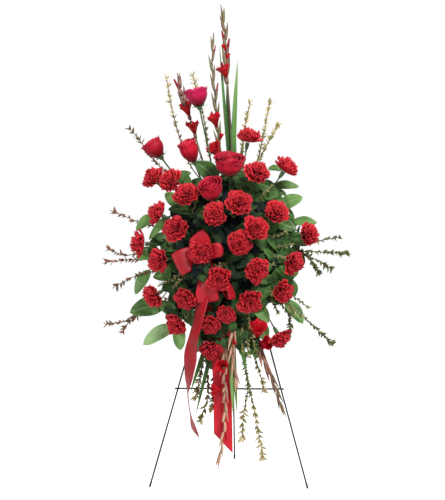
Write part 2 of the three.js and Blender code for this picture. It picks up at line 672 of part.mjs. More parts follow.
// Twigs with small leaves: each runs from its foot through its points
const TWIGS = [
  {
    name: 'twigs_upper_left', root: [-36, -54, 775], foot: [-38, -44, 834], leaves: 3, twigs: [
      [[-60, -40, 870], [-123, -36, 950], [-169, -38, 1083], [-182, -40, 1141], [-193, -42, 1208]],
      [[-46, -34, 880], [-62, -26, 965], [-85, -34, 1111], [-114, -40, 1218]],
      [[-90, -50, 866], [-214, -84, 946], [-272, -80, 1023], [-299, -76, 1053]],
    ],
  },
  {
    name: 'twigs_upper_right', root: [28, -60, 775], foot: [30, -52, 834], leaves: 3, twigs: [
      [[32, -56, 900], [36, -60, 994], [46, -58, 1071], [60, -56, 1134]],
      [[58, -60, 880], [84, -56, 965], [100, -54, 1040], [118, -52, 1133]],
      [[70, -64, 880], [94, -62, 975], [118, -60, 1022], [142, -58, 1064]],
    ],
  },
  {
    name: 'twigs_left', root: [-30, -72, 650], foot: [-74, -84, 646], leaves: 3, twigs: [
      [[-140, -110, 735], [-267, -122, 774], [-338, -116, 804]],
      [[-160, -112, 680], [-262, -120, 683], [-310, -118, 676], [-356, -112, 692]],
      [[-160, -116, 664], [-270, -124, 664], [-330, -122, 660], [-361, -112, 656]],
      [[-150, -116, 640], [-267, -120, 619], [-335, -114, 587]],
      [[-140, -112, 570], [-247, -116, 518], [-300, -118, 484], [-362, -112, 472]],
      [[-140, -108, 560], [-250, -112, 510], [-300, -112, 476], [-318, -108, 452]],
    ],
  },
  {
    name: 'twigs_right', root: [30, -72, 650], foot: [74, -84, 646], leaves: 3, twigs: [
      [[130, -112, 700], [267, -116, 720], [319, -112, 729]],
      [[130, -112, 690], [219, -118, 688], [267, -116, 686], [345, -110, 682]],
      [[130, -112, 684], [219, -118, 680], [262, -116, 629]],
      [[130, -112, 680], [225, -114, 676], [295, -110, 640]],
      [[120, -114, 590], [199, -120, 515], [250, -120, 466], [303, -112, 416]],
      [[110, -114, 580], [176, -116, 500], [178, -118, 440]],
    ],
  },
  {
    name: 'twigs_lower', root: [-6, -88, 610], foot: [-6, -92, 556], leaves: 3, twigs: [
      [[-50, -132, 480], [-65, -146, 340], [-60, -150, 272], [-81, -150, 196]],
      [[-46, -130, 470], [-44, -142, 311], [-51, -142, 234]],
      [[-60, -134, 460], [-84, -148, 322], [-96, -150, 268]],
      [[28, -130, 500], [47, -140, 346], [56, -146, 290], [42, -152, 202], [39, -152, 145]],
      [[32, -132, 490], [52, -144, 330], [76, -154, 216], [92, -160, 130], [99, -162, 88]],
      [[40, -124, 480], [82, -134, 358], [104, -138, 282]],
    ],
  },
];

const TWIG = { thick: 2, thin: 0.9, steps: 4 };
const beforeTwigs = rooms.length;
const twigCurves = TWIGS.map((node) => {
  hold(rootStem(node, GAP + 0.2));
  const curves = node.twigs.map((points) => routeFrom(at(...node.foot), points));
  curves.forEach((curve) => hold(solidOf(tube(curve, TWIG.thick + 0.7, TWIG.thin + 0.7, 3, TWIG.steps))));
  return curves;
});
for (const room of rooms.slice(beforeTwigs)) room.twig = true;
for (const curve of twigCurves.flat()) avoidCurve(curve, TWIG.thick);
for (const { root, foot } of TWIGS) avoidLine(at(...root), at(...foot), ROOT.thick);

// Salal: broad leathery leaves on stalks from one foot in the foam, each with its base, tip and width
const SALAL = [
  {
    name: 'salal_left', root: [-30, -66, 706], foot: [-74, -64, 712], leaves: [
      [[-156, -142, 895], [-110, -158, 918], 32], [[-34, -138, 896], [-96, -158, 948], 56],
      [[-149, -152, 824], [-186, -168, 858], 38], [[-89, -160, 812], [-176, -183, 817], 36],
      [[-209, -136, 792], [-268, -158, 745], 38], [[-172, -150, 792], [-232, -173, 722], 28],
      [[-159, -142, 713], [-220, -158, 724], 34], [[-114, -150, 713], [-200, -173, 692], 46],
      [[-210, -132, 686], [-274, -148, 668], 44], [[-149, -146, 619], [-222, -168, 612], 44],
      [[-236, -112, 634], [-278, -128, 560], 40], [[-193, -128, 530], [-292, -148, 508], 62],
      [[-165, -138, 468], [-251, -158, 414], 46], [[-140, -144, 466], [-133, -173, 400], 40],
      [[-127, -156, 540], [-104, -183, 468], 32], [[-202, -146, 536], [-150, -168, 500], 38],
      [[-50, -150, 640], [-104, -186, 600], 48],
      [[-62, -150, 590], [-96, -180, 526], 44],
    ],
  },
  {
    name: 'salal_right', root: [30, -66, 706], foot: [74, -64, 712], leaves: [
      [[126, -118, 881], [206, -138, 877], 28], [[114, -118, 934], [156, -138, 924], 20],
      [[135, -118, 869], [172, -138, 856], 22], [[150, -138, 818], [216, -158, 846], 42],
      [[97, -133, 871], [175, -153, 824], 34], [[185, -128, 774], [258, -148, 771], 30],
      [[132, -156, 774], [198, -178, 748], 40], [[164, -138, 733], [230, -158, 705], 42],
      [[164, -162, 727], [96, -188, 698], 42], [[98, -168, 698], [169, -193, 655], 44],
      [[106, -150, 669], [178, -173, 600], 46], [[83, -146, 888], [140, -168, 858], 42],
      [[43, -178, 608], [86, -204, 560], 34], [[167, -136, 545], [216, -158, 477], 42],
      [[74, -164, 532], [117, -188, 482], 40], [[60, -150, 800], [96, -190, 760], 46],
      [[56, -150, 850], [22, -180, 880], 38], [[110, -150, 620], [120, -180, 560], 44],
    ],
  },
  {
    name: 'salal_lower', root: [-38, -108, 620], foot: [-36, -116, 556], leaves: [
      [[-62, -142, 400], [-56, -160, 340], 36], [[62, -140, 437], [76, -158, 374], 36],
      [[-12, -146, 442], [-31, -164, 378], 32], [[28, -176, 540], [48, -196, 472], 32],
      [[-84, -140, 460], [-96, -160, 390], 40], [[24, -140, 460], [34, -162, 396], 38],
      [[-30, -150, 560], [-40, -182, 500], 42], [[90, -136, 480], [108, -158, 424], 38],
    ],
  },
];

// A stalk's shown part stays where it is, and what lies inside the spray is bent clear
const BENDS = [0, 8, 14, 20, 28, 36, 46].flatMap((far) => (far ? [0, 1, 2, 3, 4, 5, 6, 7] : [0])
  .map((k) => [far * Math.cos(k * Math.PI / 4), far * Math.sin(k * Math.PI / 4)]));

function clearRoute(foot, points, radius) {
  const first = at(...points[0]);
  const run = first.clone().sub(foot).normalize();
  const across = (Math.abs(run.x) < 0.8 ? X : Z).clone().cross(run).normalize();
  const other = run.clone().cross(across);
  const make = ([a, b]) => through(
    foot, foot.clone().lerp(first, 0.5).addScaledVector(across, a).addScaledVector(other, b), ...points);
  return bentClear(BENDS, make, (curve) => curve.getSpacedPoints(24), radius + 0.8);
}

const STALK = 1.8;
const LEAF_THICK = 1.6;
const LEAF_ROOM = 2.6;          // least distance from a leaf's middle surface to what is in place

// A leaf keeps its place across and up, and moves forward or back until it is clear
const DEPTHS = [0, -6, 6, -12, 12, -18, 18, -26, 26, 34].flatMap((deep) => [0, 12, -12].flatMap(
  (lean) => [0, 7, -7].map((slide) => [deep, lean, slide])));

function leafPoints(curve, wide, side) {
  return [0.06, 0.16, 0.26, 0.36, 0.46, 0.56, 0.66, 0.76, 0.86, 0.96].flatMap((share) => {
    const half = (wide / 2) * Math.min(1, 3.4 * share, 2.6 * (1 - share));
    const middle = curve.getPointAt(share);
    return [-0.95, -0.64, -0.32, 0, 0.32, 0.64, 0.95].map((k) => middle.clone().addScaledVector(side, k * half));
  });
}

// A leaf and its stalk in one form, which widens from the stalk at its base
function stalkedLeaf(curve, long, wide, facing, grow = 0) {
  const base = 1 - long / curve.getLength();
  const on = (share) => base + share * (1 - base);
  const half = wide / 2 + grow;
  const profile = [[0, 0], [STALK + grow, 0.001], [0.8 * STALK + grow, base], [0.92 * half, on(0.3)],
    [0.84 * half, on(0.64)], [0, 1]].map(([r, y]) => new THREE.Vector2(r, y));
  const form = welded(new THREE.LatheGeometry(profile, 4));
  shaped(form, (point) => {
    if (point.y < on(0.1)) return;
    const face = Math.abs(point.z) > 1e-3 ? Math.sign(point.z) : 0;
    point.z = face * (LEAF_THICK / 2 + grow) + 0.25 * Math.abs(point.x);
  });
  const run = curve.getPointAt(1).sub(curve.getPointAt(on(0))).normalize();
  return solidOf(laidAlong(form, curve, run.cross(facing)));
}

for (const node of SALAL) {
  const from = at(...node.foot);
  const parts = [rootStem(node, 0)];
  const grown = [rootStem(node, GAP + 0.2)];
  for (const [base, tip, wide] of node.leaves) {
    const facing = at(base[0] * 0.002, -1, 0.35).normalize();
    const side = at(...tip).sub(at(...base)).normalize().cross(facing).normalize();
    const make = ([deep, lean, slide]) => {
      const [start, end] = [-lean, lean].map((turn, k) => at(...(k ? tip : base)).add(at(0, deep + turn, 0)));
      start.addScaledVector(side, slide);
      end.addScaledVector(side, slide);
      return new THREE.QuadraticBezierCurve3(start, start.clone().lerp(end, 0.5).add(at(0, -6, 4)), end);
    };
    let best = { kept: 0 };
    for (const change of DEPTHS) {
      const blade = make(change);
      if (clearance(leafPoints(blade, wide, side)) < LEAF_ROOM) continue;
      const points = [0, 0.5, 1].map((share) => blade.getPointAt(share).toArray());
      const curve = clearRoute(from, points, STALK);
      const whole = stalkedLeaf(curve, blade.getLength(), wide, facing);
      const kept = largest(clearOf(parts[0].add(whole))).volume() / parts[0].add(whole).volume();
      if (kept > best.kept) best = { kept, blade, curve, whole };
      if (kept > 0.97) break;
    }
    const { blade, curve, whole } = best;
    parts.push(whole);
    grown.push(stalkedLeaf(curve, blade.getLength(), wide, facing, 0.5));
    for (const point of leafPoints(blade, wide, side)) avoidPoint(point);
  }
  piece(node.name, largest(clearOf(joined(parts))), SALAL_GREEN);
  hold(...grown);
}

// The twigs' small leaves stand alternately on either side and thin out towards the foot
TWIGS.forEach((node, n) => {
  const parts = [rootStem(node, 0)];
  for (const curve of twigCurves[n]) {
    parts.push(solidOf(tube(curve, TWIG.thick, TWIG.thin, 3, TWIG.steps)));
    for (let k = 0; k < node.leaves; k += 1) {
      const share = 1 - 0.56 * (k / node.leaves);
      const from = inTube(curve, Math.min(share, 0.995), TWIG.steps);
      const along = curve.getTangentAt(share);
      const out = along.clone().cross(FRONT).normalize().multiplyScalar(k % 2 ? 1 : -1);
      out.addScaledVector(FRONT, 0.35 * Math.sin(2.4 * k));
      const spread = k === 0 ? 0.1 : 0.8;
      const to = from.clone().addScaledVector(along, 13).addScaledVector(out, 13 * spread);
      const form = { outline: SMALL_OUTLINE, thick: 2, fold: 0 };
      const grown = solidOf(leaf(straight(from, to), 9, FRONT, { ...form, grow: 0.4 }));
      if (crosses(grown)) continue;
      parts.push(solidOf(leaf(straight(from, to), 9, FRONT, form)));
    }
  }
  piece(node.name, joined(parts), TWIG_BROWN);
});

// Foam: a wet brick that every stem stands in by a plain hole
const brick = solidOf(block(FOAM.wide, FOAM.high, FOAM.deep, 0, FOAM.middle, FOAM_BACK));
piece('foam_block', largest(clearOf(brick)), FOAM_GREEN);

export default group;
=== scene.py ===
import math
import random

import bmesh
import bpy
from mathutils import Matrix, Vector


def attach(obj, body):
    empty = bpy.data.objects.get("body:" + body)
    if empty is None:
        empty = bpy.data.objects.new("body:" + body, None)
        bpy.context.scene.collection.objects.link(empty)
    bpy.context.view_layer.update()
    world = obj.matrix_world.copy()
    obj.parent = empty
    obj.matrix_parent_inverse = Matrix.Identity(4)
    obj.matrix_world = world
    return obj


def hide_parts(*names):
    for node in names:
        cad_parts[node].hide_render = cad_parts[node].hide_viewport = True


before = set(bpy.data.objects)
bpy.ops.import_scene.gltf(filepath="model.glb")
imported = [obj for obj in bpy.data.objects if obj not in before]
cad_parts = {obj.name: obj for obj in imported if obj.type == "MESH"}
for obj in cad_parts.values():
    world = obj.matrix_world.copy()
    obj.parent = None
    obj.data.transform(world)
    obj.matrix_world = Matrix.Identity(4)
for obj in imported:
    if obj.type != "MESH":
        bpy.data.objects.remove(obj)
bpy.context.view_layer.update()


# The easel is a folding stand of black coated steel wire: two front legs, two crossbars and a short
# bar welded across them, and a back leg whose eye turns on the short bar. Rubber tips cover the feet.
# Sizes are in millimetres until a finished form is made a piece.

WIRE = 2.5                      # radius of the wire
FOOT_SPREAD, FRONT_REACH, BACK_REACH, EASEL_HEAD, LEG_TOPS = 460, 180, 280, 803, 18
LEAN = math.atan2(FRONT_REACH, EASEL_HEAD)
UP = Vector((0, math.sin(LEAN), math.cos(LEAN)))
OUT = Vector((0, -math.cos(LEAN), math.sin(LEAN)))


def leaning(x, up, out):
    """A place on the easel's leaning front: across, up along it, and out from it"""
    return Vector((x, -FRONT_REACH, 0)) + UP * up + OUT * out


def add(tree, kind, sockets=(), **settings):
    """A node with its settings, its sockets joined or set"""
    made = tree.nodes.new(kind)
    for key, value in settings.items():
        setattr(made, key, value)
    for key, value in dict(sockets).items():
        if isinstance(value, bpy.types.NodeSocket):
            tree.links.new(value, made.inputs[key])
        else:
            made.inputs[key].default_value = value
    return made


def ramp(tree, value, *stops):
    """The colour that goes with a value, from stops of place and colour"""
    made = add(tree, "ShaderNodeValToRGB", {"Fac": value})
    while len(made.color_ramp.elements) < len(stops):
        made.color_ramp.elements.new(0.5)
    for element, (place, colour) in zip(made.color_ramp.elements, stops):
        element.position, element.color = place, (*colour, 1)
    return made.outputs["Color"]


def blended(tree, mask, one, other, way="MIX"):
    """Two colours, blended by a mask"""
    made = add(tree, "ShaderNodeMix", {0: mask, 6: one, 7: other}, data_type="RGBA", blend_type=way)
    return made.outputs[2]


def reckon(tree, way, one, other=0.0, third=0.0):
    return add(tree, "ShaderNodeMath", {0: one, 1: other, 2: third}, operation=way).outputs[0]


def scaled(tree, value, by, plus=0.0):
    return reckon(tree, "MULTIPLY_ADD", value, by, plus)


def finish(name, **values):
    """A new finish: its node tree and its shader"""
    made = bpy.data.materials.new(name)
    made.use_nodes = True
    shader = made.node_tree.nodes["Principled BSDF"]
    for key, value in values.items():
        shader.inputs[key.replace("_", " ")].default_value = value
    return made, made.node_tree, shader


def paint(tree, shader, colour):
    tree.links.new(colour, shader.inputs["Base Color"])


def set_bump(tree, shader, height, strength, distance):
    bump = add(tree, "ShaderNodeBump", {"Height": height, "Strength": strength, "Distance": distance})
    tree.links.new(bump.outputs["Normal"], shader.inputs["Normal"])


def effect(name, takes, gives):
    """A group of nodes that several finishes use: its tree, and the values that go in and come out"""
    tree = bpy.data.node_groups.new(name, "ShaderNodeTree")
    for socket, value in takes.items():
        made = tree.interface.new_socket(socket, in_out="INPUT", socket_type="NodeSocketFloat")
        made.default_value = value
    for socket in gives:
        tree.interface.new_socket(socket, in_out="OUTPUT", socket_type="NodeSocketFloat")
    return tree, tree.nodes.new("NodeGroupInput").outputs, tree.nodes.new("NodeGroupOutput").inputs


# Cloudy change from place to place, on the piece's own coordinates
mottle, inside, outside = effect("mottle", {"Scale": 40.0, "Detail": 3.0}, ["Value"])
place = add(mottle, "ShaderNodeTexCoord").outputs["Object"]
cloud = add(mottle, "ShaderNodeTexNoise", {
    "Vector": place, "Scale": inside["Scale"], "Detail": inside["Detail"]}).outputs["Fac"]
mottle.links.new(cloud, outside["Value"])


def mottled(tree, scale, detail=3.0):
    return add(tree, "ShaderNodeGroup", {"Scale": scale, "Detail": detail}, node_tree=mottle).outputs["Value"]


def cloudy_finish(name, scale, stops, grain=None, **values):
    """A finish that wanders between colours, with a fine grain: its scale, detail, strength and height"""
    made, tree, shader = finish(name, **values)
    paint(tree, shader, ramp(tree, mottled(tree, scale), *stops))
    if grain:
        fine, detail, strength, height = grain
        set_bump(tree, shader, mottled(tree, fine, detail), strength, height)
    return made


coat = cloudy_finish(
    "coated_wire", 260.0,
    [(0.3, (0.003, 0.006, 0.005)), (0.62, (0.008, 0.013, 0.011)), (0.78, (0.03, 0.04, 0.036))],
    (900.0, 1.0, 0.2, 0.0003), Roughness=0.45, Metallic=0.2, Coat_Weight=0.1)
tip_rubber = cloudy_finish(
    "tip_rubber", 400.0, [(0.3, (0.008, 0.008, 0.008)), (0.8, (0.03, 0.03, 0.03))], Roughness=0.7)


def new_form():
    """An empty form with room for a leaf's or petal's own map and its tint"""
    bm = bmesh.new()
    bm.loops.layers.uv.new("map")
    bm.verts.layers.float.new("tint")
    return bm


def wires(bm, runs, look=0, sides=2, tint=0.5):
    """Round wires, stems or twigs: each run is a row of places with the radius there"""
    bent = bpy.data.curves.new("run", "CURVE")
    bent.dimensions, bent.bevel_depth, bent.bevel_resolution, bent.use_fill_caps = "3D", 1, sides, True
    for run in runs:
        line = bent.splines.new("POLY")
        line.points.add(len(run) - 1)
        for point, (place, radius) in zip(line.points, run):
            point.co, point.radius = (*place, 1), radius
    laid = bpy.data.objects.new("run", bent)
    mesh = bpy.data.meshes.new_from_object(laid)
    verts, faces = len(bm.verts), len(bm.faces)
    bm.from_mesh(mesh)
    bm.verts.ensure_lookup_table()
    bm.faces.ensure_lookup_table()
    tints = bm.verts.layers.float["tint"]
    for vert in bm.verts[verts:]:
        vert[tints] = tint
    for face in bm.faces[faces:]:
        face.material_index = look
    bpy.data.objects.remove(laid)
    bpy.data.curves.remove(bent)
    bpy.data.meshes.remove(mesh)


def made_piece(name, bm, *looks, thick=0.0):
    """A finished form in metres, with its finishes; a thin sheet gets its thickness here"""
    bmesh.ops.scale(bm, vec=(0.001, 0.001, 0.001), verts=bm.verts)
    mesh = bpy.data.meshes.new(name)
    bm.to_mesh(mesh)
    bm.free()
    mesh.shade_smooth()
    piece = bpy.data.objects.new(name, mesh)
    bpy.context.scene.collection.objects.link(piece)
    for look in looks:
        mesh.materials.append(look)
    if thick:
        wall = piece.modifiers.new("thickness", "SOLIDIFY")
        wall.thickness, wall.offset = thick / 1000, 0
    return piece


LEG_BEHIND = 2 * WIRE + 0.3     # from the middle of a wire to the middle of the one across it
HINGE_UP = (EASEL_HEAD - 8) / math.cos(LEAN)
HINGE = leaning(0, HINGE_UP, -LEG_BEHIND)
EYE = 5.4                       # radius of the back leg's eye
TIP = (3.1, 16)                 # radius and length of a rubber tip
PAST_LEG = 9                    # how far a crossbar runs past a leg
WELD_IN = 1.2                   # how deep a weld starts in a wire


def leg_with_tip(foot, top):
    """A leg's wire, and the rubber tip over its foot"""
    rise = (top - foot).normalized()
    low = foot + rise * 1.5
    wire = [(low + rise * 3, WIRE), (top, WIRE)]
    radius, long = TIP
    tip = [(low, radius - 1), (low + rise, radius), (low + rise * long, radius),
           (low + rise * (long + 1), radius - 0.7)]
    return wire, tip


def weld(one, other):
    """A small bead where two wires meet"""
    return [(one, 1.6), (one.lerp(other, 0.3), 2.9), (one.lerp(other, 0.7), 2.9), (other, 1.6)]


def on_leg(side, height):
    share = height / EASEL_HEAD
    x = FOOT_SPREAD / 2 + (LEG_TOPS - FOOT_SPREAD) / 2 * share
    return Vector((side * x, -FRONT_REACH * (1 - share), height))


parts = []                      # each part's node, its body, its wires and its rubber tip
for node, side in (("easel_left_leg", -1), ("easel_right_leg", 1)):
    wire, tip = leg_with_tip(on_leg(side, 0), on_leg(side, EASEL_HEAD))
    parts.append((node, "spray", [wire], [tip]))

for node, height in (("easel_upper_crossbar", 640), ("easel_lower_crossbar", 281)):
    up = height / math.cos(LEAN)
    reach = on_leg(1, height).x + PAST_LEG
    bar = [(leaning(x, up, LEG_BEHIND), radius) for x, radius in
           ((-reach, 1.7), (-reach + 1, WIRE), (reach - 1, WIRE), (reach, 1.7))]
    crossed = [on_leg(side, height).x for side in (-1, 1)]
    parts.append((node, "spray", [bar] + [weld(leaning(x, up, WELD_IN), leaning(x, up, LEG_BEHIND - WELD_IN))
                                          for x in crossed], []))

bar = [(HINGE + Vector((x, 0, 0)), radius) for x, radius in ((-14, 1.8), (-13, WIRE), (13, WIRE), (14, 1.8))]
parts.append(("easel_top_bar", "spray", [bar] + [
    weld(HINGE + Vector((x, 0, 0)), leaning(x, HINGE_UP, 0)) for x in (-LEG_TOPS / 2, LEG_TOPS / 2)], []))

back_foot = Vector((0, BACK_REACH, 0))
wire, tip = leg_with_tip(back_foot, HINGE + (back_foot - HINGE).normalized() * EYE)
around = [k * math.pi / 12 for k in range(25)]
eye = [(HINGE + Vector((0, math.cos(turn), math.sin(turn))) * EYE, WIRE) for turn in around]
parts.append(("easel_back_leg", "back_leg", [wire, eye], [tip]))

for node, body, runs, tips in parts:
    bm = new_form()
    wires(bm, runs)
    if tips:
        wires(bm, tips, 1)
    part = made_piece(node + "_wire", bm, coat, *[tip_rubber] * len(tips))
    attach(part, body)
    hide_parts(node)


# A foam brick in a green plastic tray carries the flowers. Two flat ties hold the tray to the upper
# crossbar. The foam is soaked and full of fine pores, and the tray has a moulded grain.

FOAM_HEART = leaning(0, 695, 53.5)

tray_plastic = cloudy_finish(
    "tray_plastic", 60.0, [(0.3, (0.010, 0.055, 0.022)), (0.7, (0.018, 0.085, 0.033))],
    (1500.0, 1.0, 0.15, 0.0002), Roughness=0.45)
tie_plastic = cloudy_finish(
    "tie_plastic", 300.0, [(0.3, (0.007, 0.007, 0.007)), (0.8, (0.022, 0.022, 0.022))],
    (2500.0, 1.0, 0.1, 0.0001), Roughness=0.4)

wet_foam, tree, shader = finish("wet_foam", Roughness=0.8)
pores = mottled(tree, 1400.0, 2.0)
patches = ramp(tree, mottled(tree, 30.0), (0.3, (0.010, 0.060, 0.022)), (0.7, (0.030, 0.115, 0.045)))
# Where the pores open, the foam is painted very dark green: painted shade in the holes
shut = ramp(tree, pores, (0.42, (0, 0, 0)), (0.5, (1, 1, 1)))
paint(tree, shader, blended(tree, shut, (0.004, 0.020, 0.008, 1), patches))
set_bump(tree, shader, pores, 0.9, 0.0008)

for node, look in (("foam_tray", tray_plastic), ("tray_tie_left", tie_plastic),
                   ("tray_tie_right", tie_plastic), ("foam_block", wet_foam)):
    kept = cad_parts[node].data
    kept.materials.clear()
    kept.materials.append(look)


# Salal: broad leathery leaves on thin stalks, pushed into the foam in three leafy stems. They are glossy
# above, dull and pale below, with a net of veins. Smaller leaves fill the spray behind the heads; their
# colour is painted shade, near black deep in the middle and at the left, greener at the right.

# Each stem has its root, its foot and its leaves: base, tip, width and the place by which the stalk runs
SALAL = [
    ("salal_left", (-30, -66, 706), (-74, -64, 712), [
        ((-156, -142, 895), (-110, -158, 918), 32, (-115, -103, 804)),
        ((-34, -132, 896), (-96, -176, 948), 56, (-54, -98, 804)),
        ((-149, -152, 824), (-186, -168, 858), 38, (-111, -108, 768)),
        ((-89, -162, 805), (-176, -185, 810), 36, (-81, -119, 753)),
        ((-214, -133, 796), (-273, -155, 749), 38, (-144, -98, 754)),
        ((-172, -150, 792), (-232, -173, 722), 28, (-123, -107, 752)),
        ((-158, -140, 720), (-219, -156, 731), 34, (-112, -107, 711)),
        ((-114, -150, 713), (-200, -173, 692), 46, (-94, -107, 713)),
        ((-210, -132, 686), (-274, -148, 668), 44, (-142, -98, 699)),
        ((-149, -146, 619), (-222, -168, 612), 44, (-107, -103, 660)),
        ((-236, -112, 634), (-278, -128, 560), 40, (-155, -88, 673)),
        ((-193, -128, 530), (-292, -148, 508), 62, (-129, -102, 620)),
        ((-165, -138, 468), (-251, -158, 414), 46, (-119, -93, 588)),
        ((-147, -143, 465), (-140, -172, 399), 40, (-110, -96, 586)),
        ((-127, -156, 540), (-104, -183, 468), 32, (-95, -116, 627)),
        ((-202, -146, 536), (-150, -168, 500), 38, (-138, -105, 624)),
        ((-50, -150, 640), (-104, -186, 600), 48, (-62, -107, 676)),
        ((-62, -150, 590), (-96, -180, 526), 44, (-68, -107, 651)),
    ]),
    ("salal_right", (30, -66, 706), (74, -64, 712), [
        ((126, -118, 881), (206, -138, 877), 28, (100, -91, 797)),
        ((114, -118, 934), (156, -138, 924), 20, (94, -91, 823)),
        ((132, -109, 864), (169, -153, 851), 22, (103, -86, 788)),
        ((150, -138, 818), (216, -158, 846), 42, (112, -101, 765)),
        ((93, -124, 866), (171, -168, 819), 34, (84, -94, 789)),
        ((185, -128, 774), (258, -148, 771), 30, (130, -96, 743)),
        ((132, -156, 774), (198, -178, 748), 40, (103, -110, 743)),
        ((164, -138, 733), (230, -158, 705), 42, (119, -101, 723)),
        ((161, -161, 733), (93, -187, 704), 42, (117, -112, 723)),
        ((102, -147, 703), (173, -172, 660), 44, (88, -105, 700)),
        ((106, -150, 669), (178, -173, 600), 46, (90, -107, 691)),
        ((83, -146, 888), (140, -168, 858), 42, (79, -105, 800)),
        ((48, -176, 612), (91, -202, 564), 34, (67, -125, 666)),
        ((167, -136, 545), (216, -158, 477), 42, (121, -100, 629)),
        ((74, -164, 532), (117, -188, 482), 40, (80, -119, 625)),
        ((54, -140, 797), (90, -204, 757), 46, (64, -102, 754)),
        ((56, -150, 850), (22, -180, 880), 38, (65, -107, 781)),
        ((110, -150, 620), (120, -180, 560), 44, (92, -107, 666)),
    ]),
    ("salal_lower", (-38, -108, 620), (-36, -116, 556), [
        ((-55, -155, 401), (-49, -149, 341), 36, (-46, -135, 478)),
        ((69, -139, 438), (83, -157, 375), 36, (16, -100, 492)),
        ((-12, -146, 442), (-31, -164, 378), 32, (-24, -131, 499)),
        ((35, -175, 542), (55, -195, 474), 32, (-1, -144, 541)),
        ((-84, -140, 460), (-96, -160, 390), 40, (-60, -128, 508)),
        ((24, -140, 460), (34, -162, 396), 38, (-6, -128, 508)),
        ((-30, -150, 560), (-40, -182, 500), 42, (-33, -133, 558)),
        ((90, -136, 480), (108, -158, 424), 38, (20, -105, 501)),
    ]),
]


def smooth(points, fine=12, count=61):
    """A smooth line through the points, as evenly spaced places"""
    points = [Vector(p) for p in points]
    ends = [2 * points[0] - points[1], *points, 2 * points[-1] - points[-2]]
    line = []
    for a, b, c, d in zip(ends, ends[1:], ends[2:], ends[3:]):
        s, t, u = [math.sqrt(max((q - p).length, 1e-6)) for p, q in ((a, b), (b, c), (c, d))]
        leave = ((b - a) / s - (c - a) / (s + t) + (c - b) / t) * t
        reach = ((c - b) / t - (d - b) / (t + u) + (d - c) / u) * t
        for k in range(fine):
            w = k / fine
            line.append(b + leave * w + (3 * (c - b) - 2 * leave - reach) * w ** 2
                        + (2 * (b - c) + leave + reach) * w ** 3)
    line.append(points[-1])
    far = [0.0]
    for a, b in zip(line, line[1:]):
        far.append(far[-1] + (b - a).length)
    even, k = [], 0
    for n in range(count):
        want = far[-1] * n / (count - 1)
        while k < len(line) - 2 and far[k + 1] < want:
            k += 1
        even.append(line[k].lerp(line[k + 1], (want - far[k]) / max(far[k + 1] - far[k], 1e-6)))
    return even


def length_of(line):
    return sum((b - a).length for a, b in zip(line, line[1:]))


def spot(line, share):
    """The place and the direction at a share of a line's length"""
    k = min(max(share, 0), 1) * (len(line) - 1)
    n = min(int(k), len(line) - 2)
    return line[n].lerp(line[n + 1], k - n), (line[n + 1] - line[n]).normalized()


def tapered(line, thick, thin, count=13):
    return [(spot(line, k / (count - 1))[0], thick + (thin - thick) * k / (count - 1)) for k in range(count)]


def blade(bm, columns, rows, shape, look=0, tint=0.5):
    """A leaf or petal: a strip of faces whose places come from shape(across -1 to 1, along 0 to 1)"""
    made = bmesh.ops.create_grid(bm, x_segments=columns, y_segments=rows, size=0.5, calc_uvs=True)["verts"]
    tints = bm.verts.layers.float["tint"]
    for vert in made:
        vert.co = shape(2 * vert.co.x, vert.co.y + 0.5)
        vert[tints] = tint
        if look:
            for face in vert.link_faces:
                face.material_index = look


def leaf_shape(line, wide, facing, outline, fold=0.25, wave=0.0, turn=0.0):
    """A leaf laid along a line: its outline's share of the width, folded along its rib"""
    run = (line[-1] - line[0]).normalized()
    side = run.cross(facing).normalized()
    up = side.cross(run)

    def shape(across, along):
        middle, _ = spot(line, along)
        half = wide / 2 * outline(along)
        lift = fold * abs(across) * half + wave * math.sin(9 * along + turn) * across * abs(across)
        return middle + side * across * half + up * lift
    return shape


def ovate(along):
    """A broad leaf's share of its width: blunt at its foot, with a short point"""
    return max(math.sin(math.pi * min(along, 1) ** 0.86), 0) ** 0.6


def own_map(tree):
    """How far across and along its own map a place of a leaf or petal is, each from 0 to 1"""
    place = add(tree, "ShaderNodeUVMap", uv_map="map").outputs["UV"]
    return add(tree, "ShaderNodeSeparateXYZ", {0: place}).outputs


def off_middle(tree, across):
    return reckon(tree, "ABSOLUTE", reckon(tree, "SUBTRACT", across, 0.5))


def own_tint(tree):
    return add(tree, "ShaderNodeAttribute", attribute_name="tint").outputs["Fac"]


# Veins of a leaf on its own map: a pale rib along the middle and side veins that run off it
veins, inside, outside = effect("leaf_veins", {"Number": 9.0, "Slant": 0.5}, ["Rib", "Veins"])
across, along, _ = own_map(veins)
aside = off_middle(veins, across)
slanted = scaled(veins, aside, scaled(veins, inside["Slant"], -1.0), along)
cycle = reckon(veins, "PINGPONG", scaled(veins, slanted, inside["Number"]), 0.5)
for value, wide, socket in ((aside, 0.045, "Rib"), (cycle, 0.13, "Veins")):
    faded = add(veins, "ShaderNodeMapRange", {0: value, 1: 0.0, 2: wide}).outputs[0]
    veins.links.new(reckon(veins, "SUBTRACT", 1.0, faded), outside[socket])


def leaf_finish(name, dark, light, rib, gloss, shine=0.3):
    """A leaf's skin: cloudy green between two shades, set by the leaf's tint, with its veins raised"""
    made, tree, shader = finish(name, Roughness=gloss, Specular_IOR_Level=shine)
    middle, sides = add(tree, "ShaderNodeGroup", node_tree=veins).outputs
    mixed = scaled(tree, own_tint(tree), 0.8, scaled(tree, mottled(tree, 45.0), 0.7, -0.25))
    green = ramp(tree, mixed, (0.05, dark), (0.95, light))
    veined = blended(tree, scaled(tree, sides, 0.28), green, (*rib, 1))
    paint(tree, shader, blended(tree, scaled(tree, middle, 0.75), veined, (*rib, 1)))
    raised = scaled(tree, mottled(tree, 500.0), 0.4, scaled(tree, sides, 0.4, middle))
    set_bump(tree, shader, raised, 0.5, 0.0006)
    return made


